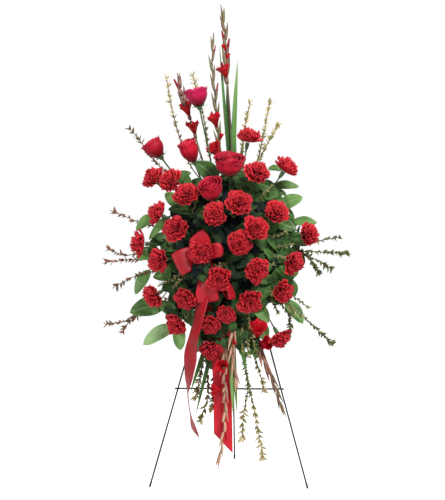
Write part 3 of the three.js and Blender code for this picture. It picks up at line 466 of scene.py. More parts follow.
salal_top = leaf_finish("salal_top", (0.005, 0.035, 0.008), (0.20, 0.40, 0.10), (0.26, 0.42, 0.15), 0.36)
salal_below = leaf_finish("salal_below", (0.05, 0.13, 0.04), (0.25, 0.40, 0.17), (0.30, 0.42, 0.20), 0.65)
# The filler leaves' finish: near black at one end, which is painted shade, and green at the other
shade_painted_leaf = leaf_finish(
    "shade_painted_leaf", (0.0010, 0.004, 0.006), (0.125, 0.28, 0.065), (0.008, 0.030, 0.016), 0.62, 0.12)
stalk_green = cloudy_finish(
    "stalk_green", 120.0, [(0.3, (0.035, 0.085, 0.022)), (0.7, (0.10, 0.15, 0.045))],
    (800.0, 3.0, 0.3, 0.0004), Roughness=0.55)


def drawn(chance, *ranges):
    return [chance.uniform(*ends) for ends in ranges]


# Shaded leaves: the middle, the way it faces, the length, the width, the turn and how lit it is painted,
# from near black, painted shade, up to green. Most are spread evenly over an inner dome by the golden
# angle, in two layers.
FILL_MIDDLE, FILL_WIDE, FILL_DEEP, FILL_HIGH = Vector((4, -96, 676)), 208, 118, 250
GOLDEN = 2.39996
OPEN_RIGHT, OPEN_BELOW = 98, 548        # the spray is open at the lower right, where only sprigs stand
chance = random.Random(11)
fillers = {"salal_left": [], "salal_right": [], "salal_lower": []}
for deep, count in ((1.0, 190), (0.7, 130)):
    for k in range(count):
        reach, angle = math.sqrt((k + 0.5) / count), k * GOLDEN
        across, up = reach * math.cos(angle), reach * math.sin(angle)
        bulge = math.sqrt(max(1 - reach * reach, 0.0))
        away = Vector((across / FILL_WIDE, -bulge / FILL_DEEP, up / FILL_HIGH)).normalized()
        out = Vector((across * FILL_WIDE, -bulge * FILL_DEEP * deep, up * FILL_HIGH))
        middle = FILL_MIDDLE + out * (0.92 + 0.08 * deep)
        node = "salal_lower" if up < -0.62 else "salal_left" if across < 0 else "salal_right"
        # Painted shade by place: leaves in the middle and at the left are painted darkest, those to the right
        # and at the rim lighter
        painted_light = min(max((middle.x + 40) / 190 + (reach - 0.75), 0), 1) * chance.random()
        leaf = (middle, away, *drawn(chance, (50, 74), (28, 42), (0, 6.28)), painted_light)
        if middle.x < OPEN_RIGHT or middle.z > OPEN_BELOW:
            fillers[node].append(leaf)

# Clusters close the gaps between the edge heads: middle, half its width and height, and its leaves
for (x, y, z), wide, high, count in (
        ((-156, -150, 612), 40, 34, 22), ((-198, -132, 706), 26, 22, 12), ((-140, -140, 520), 34, 30, 12),
        ((-100, -150, 872), 40, 22, 10), ((92, -150, 862), 44, 24, 10)):
    for k in range(count):
        aside, back, up = drawn(chance, (-wide, wide), (0, 30), (-high, high))
        middle = Vector((x + aside, y - back, z + up))
        away = Vector((middle.x * 0.003, -1, (middle.z - 690) * 0.002)).normalized()
        fillers["salal_left" if x < 0 else "salal_right"].append(
            (middle, away, *drawn(chance, (44, 60), (24, 34), (0, 6.28), (0.1, 0.7))))

# Others hang in front of the tails' upper ends, painted dark: painted shade
for k in range(34):
    aside, y, turned = drawn(chance, (-6, 6), (-222, -200), (-0.3, 0.3))
    fillers["salal_lower"].append(
        (Vector((-58 + 11 * (k % 10) + aside, y, 402 + 4.6 * k)), Vector((turned, -1, 0.2)).normalized(),
         *drawn(chance, (40, 56), (18, 28), (3.6, 5.8), (0, 0.4))))

# A few near-black ones, painted shade, stand before the upper strand of the bow's lower loop
for k in range(9):
    middle = Vector((-88 + 16 * (k % 3) + chance.uniform(-4, 4), -256 - k % 2 * 4, 608 + 5 * k))
    fillers["salal_left"].append(
        (middle, Vector((-0.1, -1, 0.1)).normalized(), *drawn(chance, (34, 44), (16, 22), (3.4, 6.0)), 0.05))

# Narrow ones close the gap under the heads, to the right of the lower spikes
low = random.Random(4)
for k in range(12):
    aside, y, up, turned = drawn(low, (-26, 26), (-204, -184), (-10, 10), (-0.3, 0.3))
    fillers["salal_lower"].append(
        (Vector((58 + aside, y, 396 + 4.5 * k + up)), Vector((turned, -1, 0.1)).normalized(),
         *drawn(low, (34, 48), (13, 20), (3.4, 6.0), (0.1, 0.8))))

# How light each shown leaf is, from 0 to 9; the lightest one shows its pale underside
LIGHT = {"salal_left": (3, 2, 6, 1, 6, 5, 3, 2, 5, 3, 5, 3, 9, 6, 1, 3, 1, 1),
         "salal_right": (5, 5, 4, 6, 3, 6, 2, 3, 4, 2, 3, 1, 2, 5, 6, 1, 1, 2),
         "salal_lower": (4, 7, 2, 2, 3, 3, 1, 6)}
LIGHTEST = 9

for node, root, foot, leaves in SALAL:
    bm = new_form()
    foot, light = Vector(foot), LIGHT[node]
    stalks = [[(Vector(root), 3.2), (foot, 3.4), (foot + (foot - Vector(root)).normalized() * 3, 2.6)]]
    for k, (base, tip, wide, bend) in enumerate(leaves):
        base, tip = Vector(base), Vector(tip)
        facing = Vector((base.x * 0.002, -1, 0.35)).normalized()
        middle = base.lerp(tip, 0.5) + Vector((0, -6, 4))
        line = smooth([base, middle, tip], count=31)
        stalk = smooth([foot, bend, base, middle], count=25)
        stalks.append([(p, 1.8 - 0.7 * n / 21) for n, p in enumerate(stalk[:21])])
        blade(bm, 8, 12, leaf_shape(line, wide, facing, ovate, 0.2, 1.2, k), light[k] // LIGHTEST,
              light[k] / LIGHTEST)
    for middle, away, long, wide, turn, painted_light in fillers[node]:
        side = away.cross(Vector((0, 0, 1))).normalized()
        run = (side * math.cos(turn) + away.cross(side) * math.sin(turn) + away * 0.35).normalized()
        base, tip = middle - run * long / 2, middle + run * long / 2
        line = smooth([base, middle + away * 5, tip - away * 6], count=9)
        askew = Vector(drawn(chance, *[(-0.5, 0.5)] * 3))
        facing = (away + askew + Vector((0, -0.3, 0.2))).normalized()
        tint = chance.uniform(-0.15, 0.15) + 0.85 * painted_light
        blade(bm, 4, 6, leaf_shape(line, wide, facing, ovate, 0.2), 2, tint)
        heart = FOAM_HEART + (base - FOAM_HEART).normalized() * 30
        stalks.append([(base, 1.0), (base.lerp(heart, 0.4) - away * 8, 1.2), (heart, 1.4)])
    wires(bm, stalks, 3, 1)
    salal = made_piece(node + "_leaves", bm, salal_top, salal_below, shade_painted_leaf, stalk_green, thick=0.7)
    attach(salal, "spray")
    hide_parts(node)


# Gladiolus leaves: long stiff swords of the gladioli, folded along the rib and finely striped along
# their length, in two fans of five from one foot each, above and below the foam.

# Each fan has its root, foot, bend, its leaves' shades, and their tips: place, width and bow aside
SWORDS = [
    ("gladiolus_leaves_upper", (6, -50, 770), (7, -46, 826), (0, -4, 0), (0.6, 0.5, 0.2, 0.4, 0.5), [
        (44, -36, 1040, 13, 0), (22, -38, 1265, 16, -8), (-34, -32, 1316, 10, 0), (-12, -36, 1202, 18, 0),
        (14, -40, 1078, 15, 0)]),
    ("gladiolus_leaves_lower", (4, -106, 604), (4, -112, 560), (0, -66, 40), (0.6, 0.3, 0.0, 0.25, 0.4), [
        (14, -184, 214, 17, 0), (26, -184, 208, 13, 0), (-96, -184, 208, 13, 0), (-112, -180, 276, 16, 0),
        (52, -180, 330, 18, 0)]),
]
SWORD_LAYER = 5                 # from one leaf of a fan to the next, front to back


def streaked(tree, across, along, third=0.0):
    """Fine streaks on a piece's own map: how close they are across it, and how often they change along it"""
    own = own_map(tree)
    lanes = add(tree, "ShaderNodeCombineXYZ", {
        0: scaled(tree, own[0], across), 1: scaled(tree, own[1], along), 2: third}).outputs[0]
    return add(tree, "ShaderNodeTexNoise", {"Vector": lanes, "Scale": 1.0, "Detail": 2.0}).outputs["Fac"]


def sword(along):
    """A sword leaf's share of its width: narrow at its foot, widest before the middle, then to a point"""
    if along < 0.35:
        return 0.4 + 0.6 * math.sin(along / 0.35 * math.pi / 2)
    return max(1 - ((along - 0.35) / 0.65) ** 2.6, 0)


sword_green, tree, shader = finish("sword_green", Roughness=0.42, Specular_IOR_Level=0.3)
stripes = streaked(tree, 26.0, 2.5)
shade = scaled(tree, own_tint(tree), 0.45, scaled(tree, stripes, 0.6))
shade = reckon(tree, "ADD", shade, scaled(tree, own_map(tree)[1], 0.3, -0.2))
paint(tree, shader, ramp(
    tree, shade, (0.25, (0.012, 0.05, 0.014)), (0.5, (0.09, 0.25, 0.045)), (0.8, (0.29, 0.41, 0.15))))
set_bump(tree, shader, stripes, 0.5, 0.0005)

for node, root, foot, bend, shades, tips in SWORDS:
    bm = new_form()
    foot = Vector(foot)
    for k, (x, y, z, wide, bow) in enumerate(tips):
        layer = Vector((0, SWORD_LAYER * (k - 2), 0))
        start, end = foot + layer, Vector((x, y, z)) + layer
        middle = start.lerp(end, 0.45) + Vector(bend) + Vector((bow, 0, 0))
        line = smooth([start * (1 - w) ** 2 + middle * 2 * w * (1 - w) + end * w * w
                       for w in (0, 0.25, 0.5, 0.75, 1)])
        blade(bm, 6, 40, leaf_shape(line, wide, Vector((0, -1, 0.1)), sword, 0.16), 0, shades[k])
    sheath = (foot - Vector(root)).normalized()
    wires(bm, [[(Vector(root), 3.2), (foot, 3.6), (foot + sheath * 14, 2.2)],
               [(foot + Vector((0, y, 0)), r) for y, r in ((-12, 3.4), (-8, 5), (8, 5), (12, 3.4))]])
    swords = made_piece(node + "_blades", bm, sword_green, thick=0.9)
    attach(swords, "spray")
    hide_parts(node)


# Twigs: woody shoots with small leaves all along them, yellow green to cream and reddish towards the
# left, in five bunches that each stand in the foam by one root.

# Each bunch has its root and foot, how pale its leaves are and how much paler towards a twig's tip, then
# the space between rings of leaves, the fewest and most in a ring, their length, width and how much
# they shrink inwards, and the routes of its twigs
TWIGS = [
    ("twigs_upper_left", (-36, -54, 775), (-38, -44, 834), 0.98, 0.2, (15, 2, 4, 20, 10, 0.5), [
        [(-60, -40, 870), (-123, -36, 950), (-169, -38, 1083), (-182, -40, 1141), (-193, -42, 1208)],
        [(-46, -34, 880), (-62, -26, 965), (-85, -34, 1111), (-114, -40, 1218)],
        [(-90, -50, 866), (-214, -84, 946), (-272, -80, 1023), (-299, -76, 1053)],
    ]),
    ("twigs_upper_right", (28, -60, 775), (30, -52, 834), 0.72, 0.4, (11, 2, 4, 19, 9.5, 0.45), [
        [(32, -56, 900), (36, -60, 994), (46, -58, 1071), (60, -56, 1134)],
        [(58, -60, 880), (84, -56, 965), (100, -54, 1040), (118, -52, 1133)],
        [(70, -64, 880), (94, -62, 975), (118, -60, 1022), (142, -58, 1064)],
    ]),
    ("twigs_left", (-30, -72, 650), (-74, -84, 646), 0.34, -0.3, (8, 1, 2, 20, 9.5, 0.55), [
        [(-140, -110, 735), (-267, -122, 774), (-338, -116, 804)],
        [(-160, -112, 680), (-262, -120, 683), (-310, -118, 676), (-356, -112, 692)],
        [(-160, -116, 664), (-270, -124, 664), (-330, -122, 660), (-361, -112, 656)],
        [(-150, -116, 640), (-267, -120, 619), (-335, -114, 587)],
        [(-140, -112, 570), (-247, -116, 518), (-300, -118, 484), (-362, -112, 472)],
        [(-140, -108, 560), (-250, -112, 510), (-300, -112, 476), (-318, -108, 452)],
    ]),
    ("twigs_right", (30, -72, 650), (74, -84, 646), 0.42, -0.4, (7, 1, 3, 18, 9, 0.55), [
        [(130, -112, 700), (267, -116, 720), (319, -112, 729)],
        [(130, -112, 690), (219, -118, 688), (267, -116, 686), (345, -110, 682)],
        [(130, -112, 684), (219, -118, 680), (262, -116, 629)],
        [(130, -112, 680), (225, -114, 676), (295, -110, 640)],
        [(120, -114, 590), (199, -120, 515), (250, -120, 466), (303, -112, 416)],
        [(110, -114, 580), (176, -116, 500), (178, -118, 440)],
    ]),
    ("twigs_lower", (-6, -88, 610), (-6, -92, 556), 0.66, 1.0, (10, 2, 3, 23, 11, 0.9), [
        [(-50, -132, 480), (-65, -146, 340), (-60, -150, 272), (-81, -150, 196)],
        [(-46, -130, 470), (-44, -142, 311), (-51, -142, 234)],
        [(-60, -134, 460), (-84, -148, 322), (-96, -150, 268)],
        [(28, -130, 500), (47, -140, 346), (56, -146, 290), (42, -152, 202), (39, -152, 145)],
        [(32, -132, 490), (52, -144, 330), (76, -154, 216), (92, -160, 130), (99, -162, 88)],
        [(40, -124, 480), (82, -134, 358), (104, -138, 282)],
    ]),
]

# Short sprigs with tiny yellow-green leaves stand among the heads, before the shaded leaves
SPRIGS = {
    "twigs_left": [
        [(-100, -150, 640), (-140, -186, 622), (-175, -190, 600), (-200, -180, 590)],
        [(-100, -150, 640), (-130, -190, 614), (-156, -196, 586)],
        [(-100, -150, 640), (-128, -196, 630), (-150, -196, 618)],
        [(-90, -140, 760), (-104, -186, 800), (-94, -202, 826)],
        [(-90, -140, 760), (-80, -190, 796), (-72, -202, 812)],
        [(-90, -130, 600), (-116, -180, 520), (-120, -190, 500)],
    ],
    "twigs_right": [
        [(60, -150, 660), (10, -214, 655), (-26, -228, 648)],
        [(60, -150, 660), (6, -216, 648), (-14, -226, 632)],
        [(60, -140, 720), (24, -195, 760), (12, -206, 796)],
        [(130, -140, 600), (165, -176, 545), (212, -176, 500)],
        [(130, -140, 600), (185, -172, 560), (226, -170, 530)],
        [(110, -130, 600), (122, -170, 556), (142, -176, 512)],
        [(120, -140, 600), (158, -176, 552), (188, -176, 510)],
        [(100, -150, 690), (140, -196, 700), (180, -190, 706)],
        [(100, -150, 690), (134, -196, 676), (166, -192, 668)],
        [(90, -150, 740), (120, -196, 730), (164, -190, 742)],
        [(90, -140, 600), (110, -186, 590), (128, -192, 570)],
        [(90, -140, 600), (100, -196, 640), (130, -196, 652)],
        [(90, -150, 800), (100, -190, 850), (124, -186, 874)],
    ],
    "twigs_lower": [
        [(40, -150, 500), (52, -200, 462), (56, -216, 430), (60, -214, 392)],
        [(40, -150, 500), (64, -200, 470), (72, -214, 436), (78, -210, 410)],
        [(40, -150, 500), (42, -206, 470), (42, -220, 440), (44, -216, 404)],
        [(50, -150, 520), (56, -206, 500), (62, -216, 474)],
    ],
}

bark = cloudy_finish("bark", 220.0, [(0.3, (0.07, 0.045, 0.022)), (0.7, (0.21, 0.15, 0.07))],
                     (900.0, 3.0, 0.6, 0.0006), Roughness=0.75)

twig_leaf, tree, shader = finish("twig_leaf", Roughness=0.55)
wander = reckon(tree, "ADD", own_tint(tree), scaled(tree, mottled(tree, 150.0), 0.3, -0.15))
paint(tree, shader, ramp(
    tree, wander, (0.0, (0.38, 0.15, 0.10)), (0.2, (0.20, 0.10, 0.045)), (0.4, (0.04, 0.10, 0.025)),
    (0.6, (0.19, 0.24, 0.055)), (0.8, (0.50, 0.44, 0.19)), (1.0, (0.78, 0.66, 0.42))))
set_bump(tree, shader, mottled(tree, 700.0), 0.4, 0.0005)

TWIG_THICK, TWIG_THIN = 2.0, 0.9
LEAFY = 0.72                    # the share of a twig, from its tip, that has leaves
SPRIG = (0.62, 0.3, 7, 1, 3, 12, 6, 0.3)        # a sprig's leaves, told as a bunch's are


def small_leaf(along):
    return max(math.sin(math.pi * along ** 0.75), 0) ** 0.8


chance = random.Random(5)
for node, root, foot, pale, growth, (apart, fewest, most, leaf_long, leaf_wide, shrink), twigs in TWIGS:
    bm = new_form()
    foot = Vector(foot)
    runs = [[(Vector(root), 3.2), (foot, 3.4), (foot + (foot - Vector(root)).normalized() * 3, 2.4)]]
    settings = []
    for points in twigs:
        # the leaves are redder the further left they are
        x = points[-1][0]
        tone = pale + 0.12 if x > 20 else pale - 0.12 if x > -250 else 0.17
        settings.append((points, tone, growth, apart, fewest, most, leaf_long, leaf_wide, shrink))
    settings += [(points, *SPRIG) for points in SPRIGS.get(node, ())]
    for points, pale, growth, apart, fewest, most, leaf_long, leaf_wide, shrink in settings:
        line = smooth([foot, foot.lerp(Vector(points[0]), 0.5), *points])
        runs.append(tapered(line, TWIG_THICK, TWIG_THIN, 17))
        count = int(LEAFY * length_of(line) / apart)
        for k in range(count):
            share = 1 - LEAFY * (k / count) ** 1.05
            start, along = spot(line, share)
            around = chance.uniform(0, 6.3)
            across = along.cross(Vector((0, -1, 0.1))).normalized()
            number = chance.randint(fewest, most) if k else 4
            for n in range(number):
                angle = around + 2 * math.pi * n / number + chance.uniform(-0.4, 0.4)
                out = across * math.cos(angle) + along.cross(across) * math.sin(angle)
                size = max(1 - shrink * (1 - share), 0.45) * chance.uniform(0.65, 1.15)
                long, wide = leaf_long * size, leaf_wide * size
                run = (along * chance.uniform(0.5, 1.8) + out).normalized()
                root_at = start + along * chance.uniform(-4, 4)
                ray = [root_at, root_at + run * long * 0.5 + along * 1.5, root_at + run * long]
                facing = (along * 0.8 - out * 0.3 + Vector((0, -0.7, 0.2))).normalized()
                tint = min(max(pale + growth * (share - 0.75) + chance.uniform(-0.25, 0.2), 0), 1)
                blade(bm, 2, 3, leaf_shape(smooth(ray, 2, 4), wide, facing, small_leaf, 0.25), 1, tint)
    wires(bm, runs, 0, 1)
    bunch = made_piece(node + "_bunch", bm, bark, twig_leaf, thick=0.6)
    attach(bunch, "spray")
    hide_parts(node)


# Gladioli: tall spikes that taper to a point, with buds in sheaths on either side and red funnel
# florets of six petals lower down. Three stand above and three hang below, each group from one foot.

# Each group has its foot and its spikes: thickness; where its buds start, how many, how slim and how
# their tone changes; that tone, the share of red ones, the route, and the florets by share of the way,
# direction and length
GLADIOLI = [
    ("gladioli_upper", (-14, -66, 765), [
        (4.2, (0.64, 8, 0.95, 0), 0.42, 0.35,
         [(5, -50, 960), (-4, -45, 1130), (-12, -40, 1240), (-16, -36, 1340), (-30, -30, 1436)],
         [(0.66, (-0.35, -0.5, 1), 44), (0.74, (0.3, -0.3, 1), 26), (0.78, (-0.3, -0.2, 1), 26)]),
        (4.0, (0.38, 11, 0.72, 0.1), 0.2, 0.1,
         [(-24, -76, 950), (-38, -72, 1060), (-46, -68, 1170), (-54, -62, 1240), (-50, -58, 1346)],
         [(0.34, (-0.6, -0.6, 0.9), 54), (0.43, (0.35, -0.4, 1), 28), (0.5, (-0.3, -0.6, 1), 44)]),
        (3.8, (0.74, 4, 1.0, 0), 0.6, 0.3,
         [(-83, -64, 960), (-112, -66, 1060), (-134, -66, 1130), (-152, -60, 1187), (-160, -56, 1226)],
         [(0.59, (-0.2, -0.5, 1), 44), (0.71, (-0.3, -0.5, 1), 46)]),
    ]),
    ("gladioli_lower", (14, -112, 606), [
        (3.6, (0.3, 13, 0.78, 0.05), 0.9, 0.3,
         [(-10, -172, 520), (-12, -194, 402), (-10, -198, 300), (-11, -200, 190), (-30, -196, 58)],
         [(0.49, (-0.1, -0.8, 0.3), 40), (0.6, (-0.9, -0.35, 0.1), 40)]),
        (3.0, (0.35, 9, 0.8, 0.1), 0.78, 0.3,
         [(16, -176, 540), (14, -206, 470), (12, -210, 382), (20, -208, 336), (28, -204, 290)],
         [(0.56, (0.3, -0.6, -0.7), 26)]),
        (4.0, (0.4, 10, 0.85, -0.45), 0.76, 0.0,
         [(54, -160, 530), (72, -176, 460), (98, -184, 384), (132, -188, 305), (160, -186, 214)],
         [(0.47, (0.1, -0.6, 0.8), 56), (0.5, (0.6, -0.6, 0.15), 44)]),
    ]),
]

spike_stem = cloudy_finish(
    "spike_stem", 14.0, [(0.35, (0.10, 0.15, 0.05)), (0.5, (0.16, 0.11, 0.06)), (0.65, (0.07, 0.02, 0.025))],
    (700.0, 3.0, 0.3, 0.0004), Roughness=0.5)

# A sheath is olive at its foot and turns brown and dusky towards its tip, with pale pink edges
sheath_skin, tree, shader = finish("sheath_skin", Roughness=0.55)
across, along, _ = own_map(tree)
tint = own_tint(tree)
lines = streaked(tree, 22.0, 1.0, tint)
turned = reckon(tree, "ADD", scaled(tree, along, 0.35, -0.25),
                reckon(tree, "ADD", tint, scaled(tree, lines, 0.5, -0.1)))
skin = ramp(tree, turned, (0.1, (0.09, 0.12, 0.035)), (0.3, (0.17, 0.145, 0.06)), (0.5, (0.13, 0.07, 0.04)),
            (0.65, (0.075, 0.018, 0.022)), (0.82, (0.30, 0.12, 0.08)), (1.0, (0.58, 0.35, 0.23)))
edge = ramp(tree, off_middle(tree, across), (0.36, (0, 0, 0)), (0.5, (1, 1, 1)))
paint(tree, shader, blended(tree, scaled(tree, edge, 0.5), skin, (0.50, 0.26, 0.19, 1)))
set_bump(tree, shader, lines, 0.5, 0.0006)


def dimmed(tree, colour, value):
    grey = add(tree, "ShaderNodeCombineColor", {0: value, 1: value, 2: value}).outputs[0]
    return blended(tree, 1.0, colour, grey, "MULTIPLY")


def petal_finish(name, deep, middle, rim, gloss, sheen, streak, rim_highlight_at):
    """A petal: darker in its throat, as painted shade, and lighter at its rim, as a painted highlight, with
    fine streaks along it
    """
    made, tree, shader = finish(
        name, Roughness=gloss, Sheen_Weight=sheen, Sheen_Roughness=0.4, Specular_IOR_Level=0.15)
    tint = own_tint(tree)
    streaks = streaked(tree, 40.0, 4.0, tint)
    far = reckon(tree, "ADD", own_map(tree)[1], scaled(tree, streaks, 0.12, -0.06))
    # Painted shade in the throat, the petal's own red in the middle, and a painted highlight along the rim
    colour = ramp(tree, far, (0.1, deep), (0.62, middle), (rim_highlight_at - 0.06, middle),
                  (min(rim_highlight_at + 0.07, 1.0), rim))
    shade = reckon(tree, "ADD", scaled(tree, tint, 0.4, 0.8 - streak / 2), scaled(tree, streaks, streak))
    paint(tree, shader, dimmed(tree, colour, shade))
    set_bump(tree, shader, streaks, 0.45, 0.0006)
    return made


floret_red = petal_finish(
    "floret_red", (0.18, 0.001, 0.004), (0.42, 0.003, 0.010), (0.48, 0.008, 0.018), 0.5, 0.05, 0.3, 0.95)

# A red bud's petal tips are painted darker than an open floret's: painted shade inside the sheaths
SHEATH_SHADE_TINT = -0.5                 # the petals' tips in a bud are darker than an open floret's


def bud(bm, start, tip, wide, cover, red, tint):
    """A pointed bud that leans out from the spike, in two sheaths; a red one shows its petals' tips"""
    run = (tip - start).normalized()
    side = run.cross(Vector((0, -1, 0.1))).normalized()
    up = side.cross(run)

    def wrapped(long, reach, around, stand, blunt=0.0):
        def shape(across, along):
            far = (tip - start) * along * long
            radius = wide / 2 * reach * max(math.sin(math.pi * (0.28 + (0.72 - blunt) * along)), 0)
            angle = around * across + stand
            return start + far + (up * math.cos(angle) + side * math.sin(angle)) * radius
        return shape
    # Painted shade: a red bud's tips take the darker tint
    blunt, look, core_tint = (0.16, 2, SHEATH_SHADE_TINT) if red else (0.0, 1, tint)
    blade(bm, 8, 6, wrapped(1.0, 0.85, math.pi, 0, blunt), look, core_tint)
    blade(bm, 5, 6, wrapped(cover, 1.1, 1.9, 1.2), 1, tint - 0.08)
    blade(bm, 5, 6, wrapped(cover * 0.78, 1.25, 1.7, -1.2), 1, tint + 0.05)


def turned_to(direction, place, twist=0.0, size=1.0):
    """The move that turns a form standing on Z to a direction, and takes it to its place"""
    turn = Vector((0, 0, 1)).rotation_difference(Vector(direction).normalized()).to_matrix().to_4x4()
    return Matrix.Translation(place) @ turn @ Matrix.Rotation(twist, 4, "Z") @ Matrix.Scale(size, 4)


def floret(bm, move, long, chance):
    """Six broad petals that flare from a narrow throat, three inside three, with ragged pointed rims"""
    shut = 0.45 if long < 30 else 1.0
    for k in range(6):
        angle = k * math.pi / 3 + chance.uniform(-0.1, 0.1)
        reach, rise = long * 0.42 * shut * chance.uniform(0.85, 1.12), long * chance.uniform(0.95, 1.12)
        turn, inner = chance.uniform(0, 6), 0.8 * (k % 2)

        def shape(across, along):
            r = 0.05 * long - inner + reach * (0.75 * along + 0.25 * along ** 4)
            up = rise * along * (1 - 0.15 * along * abs(across) ** 1.4)
            up += 0.04 * long * along ** 3 * math.sin(6 * across + turn)
            r += along * (0.9 * math.sin(4 * across + turn) + 0.04 * long * math.sin(2 * turn))
            swing = angle + across * (0.72 - 0.12 * along)
            return move @ Vector((r * math.cos(swing), r * math.sin(swing), up))
        blade(bm, 8, 7, shape, 2, chance.uniform(0, 1))


# A bud's length low and high on the spike, and its width and lean as shares of its length
BUDS = {"gladioli_upper": (66, 42, 0.18, 0.2), "gladioli_lower": (74, 44, 0.16, 0.17)}
LAST_BUD = 0.96                 # the share of the way by which the buds end
chance = random.Random(3)
for node, foot, spikes in GLADIOLI:
    bm = new_form()
    foot = Vector(foot)
    runs, (longest, shortest, wide, lean) = [], BUDS[node]
    for thick, (first, count, slim, fade), dusk, reds, route, florets in spikes:
        line = smooth([foot, foot.lerp(Vector(route[0]), 0.5), *route])
        runs.append(tapered(line, thick, 1.2, 21))
        for k in range(count):
            share = first + (LAST_BUD - first) * k / count
            start, along = spot(line, share)
            out = Vector((1 if k % 2 else -1, -0.3, 0)).normalized()
            long = longest + (shortest - longest) * k / count
            red = chance.random() < reds and k < count - 1
            tip = start + along * long + out * long * lean
            tone = dusk + fade * k / count + chance.uniform(-0.14, 0.14)
            bud(bm, start, tip, long * wide * slim, 0.87 if red else 1.04, red, tone)
        # the tip of the spike is a last bud in line with the stem
        bud(bm, spot(line, 0.93)[0], line[-1], 6, 1.0, False, dusk + fade)
        for share, direction, long in florets:
            start, along = spot(line, share)
            facing = Vector(direction).normalized()
            floret(bm, turned_to(direction, start, chance.uniform(0, 6)), long, chance)
            heart = start + (along + facing).normalized() * long * 0.55
            bud(bm, start - along * 8, heart, long * 0.2, 0.9, True, dusk)
    wires(bm, runs, 0, 2)
    gladioli = made_piece(node + "_spikes", bm, spike_stem, sheath_skin, floret_red, thick=0.6)
    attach(gladioli, "spray")
    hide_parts(node)


# Carnations: 29 round heads of crowded ruffled petals with notched rims, which stand on the dome of
# the spray and face away from its heart. They are cast from four heads, each turned its own way.

FORWARD = 0.7                   # how far most heads are turned to the front
# Place across and up, and for some how far turned to the front, size, and how far proud
CARNATIONS = [
    (59, 1020, -0.15), (170, 932, -0.45), (86, 914, 0.4), (-221, 903, 0.3), (-168, 892, FORWARD, 1, 12),
    (-119, 853), (36, 828), (-205, 799, -0.25), (-38, 793), (141, 803, 0.4), (-149, 755), (82, 753),
    (34, 709, FORWARD, 1, -6), (234, 739, 0.1), (-261, 712, -0.2), (-200, 662, 0.3), (-77, 682),
    (85, 634), (190, 655, -0.1), (-23, 610), (160, 571, 0.15), (-219, 557, 0.1), (-124, 552, 0.45, 0.85),
    (66, 545), (-149, 477, 0.2), (-4, 508, FORWARD, 0.76), (-53, 479, 0.5, 0.82, 6), (-48, 405, 0.3),
    (151, 437, -0.05),
]
DOME = {"middle": 690, "back": -80, "deep": 190, "wide": 310, "high": 430}
# Whorls from the outside in: petals, width, the foot, middle and rim of a petal as (out, up), and frill
WHORLS = [
    (6, 42, (5, -16), (20, -15), (39, 0), 4.6),
    (7, 38, (4, -15), (17, -5), (34, 8), 5.2),
    (6, 33, (4, -15), (12, 3), (27, 15), 5.4),
    (6, 26, (3, -14), (7, 8), (18, 20), 4.6),
    (5, 19, (2, -12), (4, 10), (11, 22), 3.4),
    (3, 14, (1, -10), (2, 10), (4, 21), 2.4),
]


def carnation_head(seed):
    """One head, standing on Z with its middle at the origin"""
    chance = random.Random(seed)
    bm = new_form()
    lobes = [(n, chance.uniform(0.03, 0.08), chance.uniform(0, 6.3)) for n in (2, 3, 5)]
    for count, wide, foot, middle, rim, frill in WHORLS:
        start = chance.uniform(0, 6)
        for k in range(count):
            angle = start + 2 * math.pi * (k + chance.uniform(-0.3, 0.3)) / count
            reach, lift, broad = chance.uniform(0.84, 1.08), chance.uniform(-4, 4), chance.uniform(0.8, 1.15)
            waves, turn, sway = chance.uniform(1.8, 3.4), chance.uniform(0, 6.3), chance.uniform(-0.2, 0.2)
            for n, share, at in lobes:
                reach *= 1 + share * math.sin(n * angle + at)

            def shape(across, along):
                notch = 0.045 * (-1) ** round((across + 1) * 6) if along > 0.99 else 0
                far = along * (1 - 0.22 * across * across * along) + notch
                a, b, c = (1 - far) ** 2, 2 * far * (1 - far), far * far
                r = (a * foot[0] + b * middle[0] + c * rim[0]) * (1 + (reach - 1) * far)
                up = a * foot[1] + b * middle[1] + c * rim[1] + lift * far * far
                frilled = frill * along ** 1.7 * math.sin(waves * math.pi * across + turn)
                r -= 0.6 * frilled * (rim[1] - foot[1]) / 40
                up += frilled * 0.9
                half = wide * broad / 2 * (0.2 + 0.8 * along ** 0.85)
                swing = angle + sway * along - across * half / max(r, 9.0)
                return Vector((r * math.cos(swing), r * math.sin(swing), up))
            blade(bm, 12, 4, shape, 0, chance.uniform(0, 1))
    return bm


carnation_red = petal_finish(
    "carnation_red", (0.31, 0.007, 0.012), (0.43, 0.009, 0.017), (0.62, 0.035, 0.05), 0.6, 0.05, 0.4, 0.93)

CAST_SEEDS = (20, 21, 22, 23)
casts = []
for seed in CAST_SEEDS:
    bm = carnation_head(seed)
    cast = bpy.data.meshes.new("cast")
    bm.to_mesh(cast)
    bm.free()
    casts.append(cast)

CARNATION_CUP = (6.4, 26, 1.9)  # a cup's radius and length, and its stem's radius
ROSE_CUP = (8, 13, 2.4)
HEAD_BASE, CUP_GAP = 18, 0.3    # from a carnation's middle to its base, and from a base to the cup
stems = []                      # for each flower: its place, facing, how far below that it ends, and its cup
for k, (x, z, *more) in enumerate(CARNATIONS):
    forward, size, proud = [*more, *(FORWARD, 1, 0)[len(more):]]
    front = math.sqrt(1 - (x / DOME["wide"]) ** 2 - ((z - DOME["middle"]) / DOME["high"]) ** 2)
    place = Vector((x, DOME["back"] - DOME["deep"] * front - proud, z))
    facing = ((place - FOAM_HEART).normalized() + Vector((0, -forward, 0))).normalized()
    bm = new_form()
    bm.from_mesh(casts[k % len(casts)])
    bm.transform(turned_to(facing, place, 1.7 * (k + 1), size))
    node = f"carnation_{k + 1:02d}"
    head = made_piece(node + "_head", bm, carnation_red, thick=0.6)
    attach(head, "spray")
    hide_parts(node)
    stems.append((place, facing, HEAD_BASE * size + CUP_GAP, *CARNATION_CUP))
for cast in casts:
    bpy.data.meshes.remove(cast)


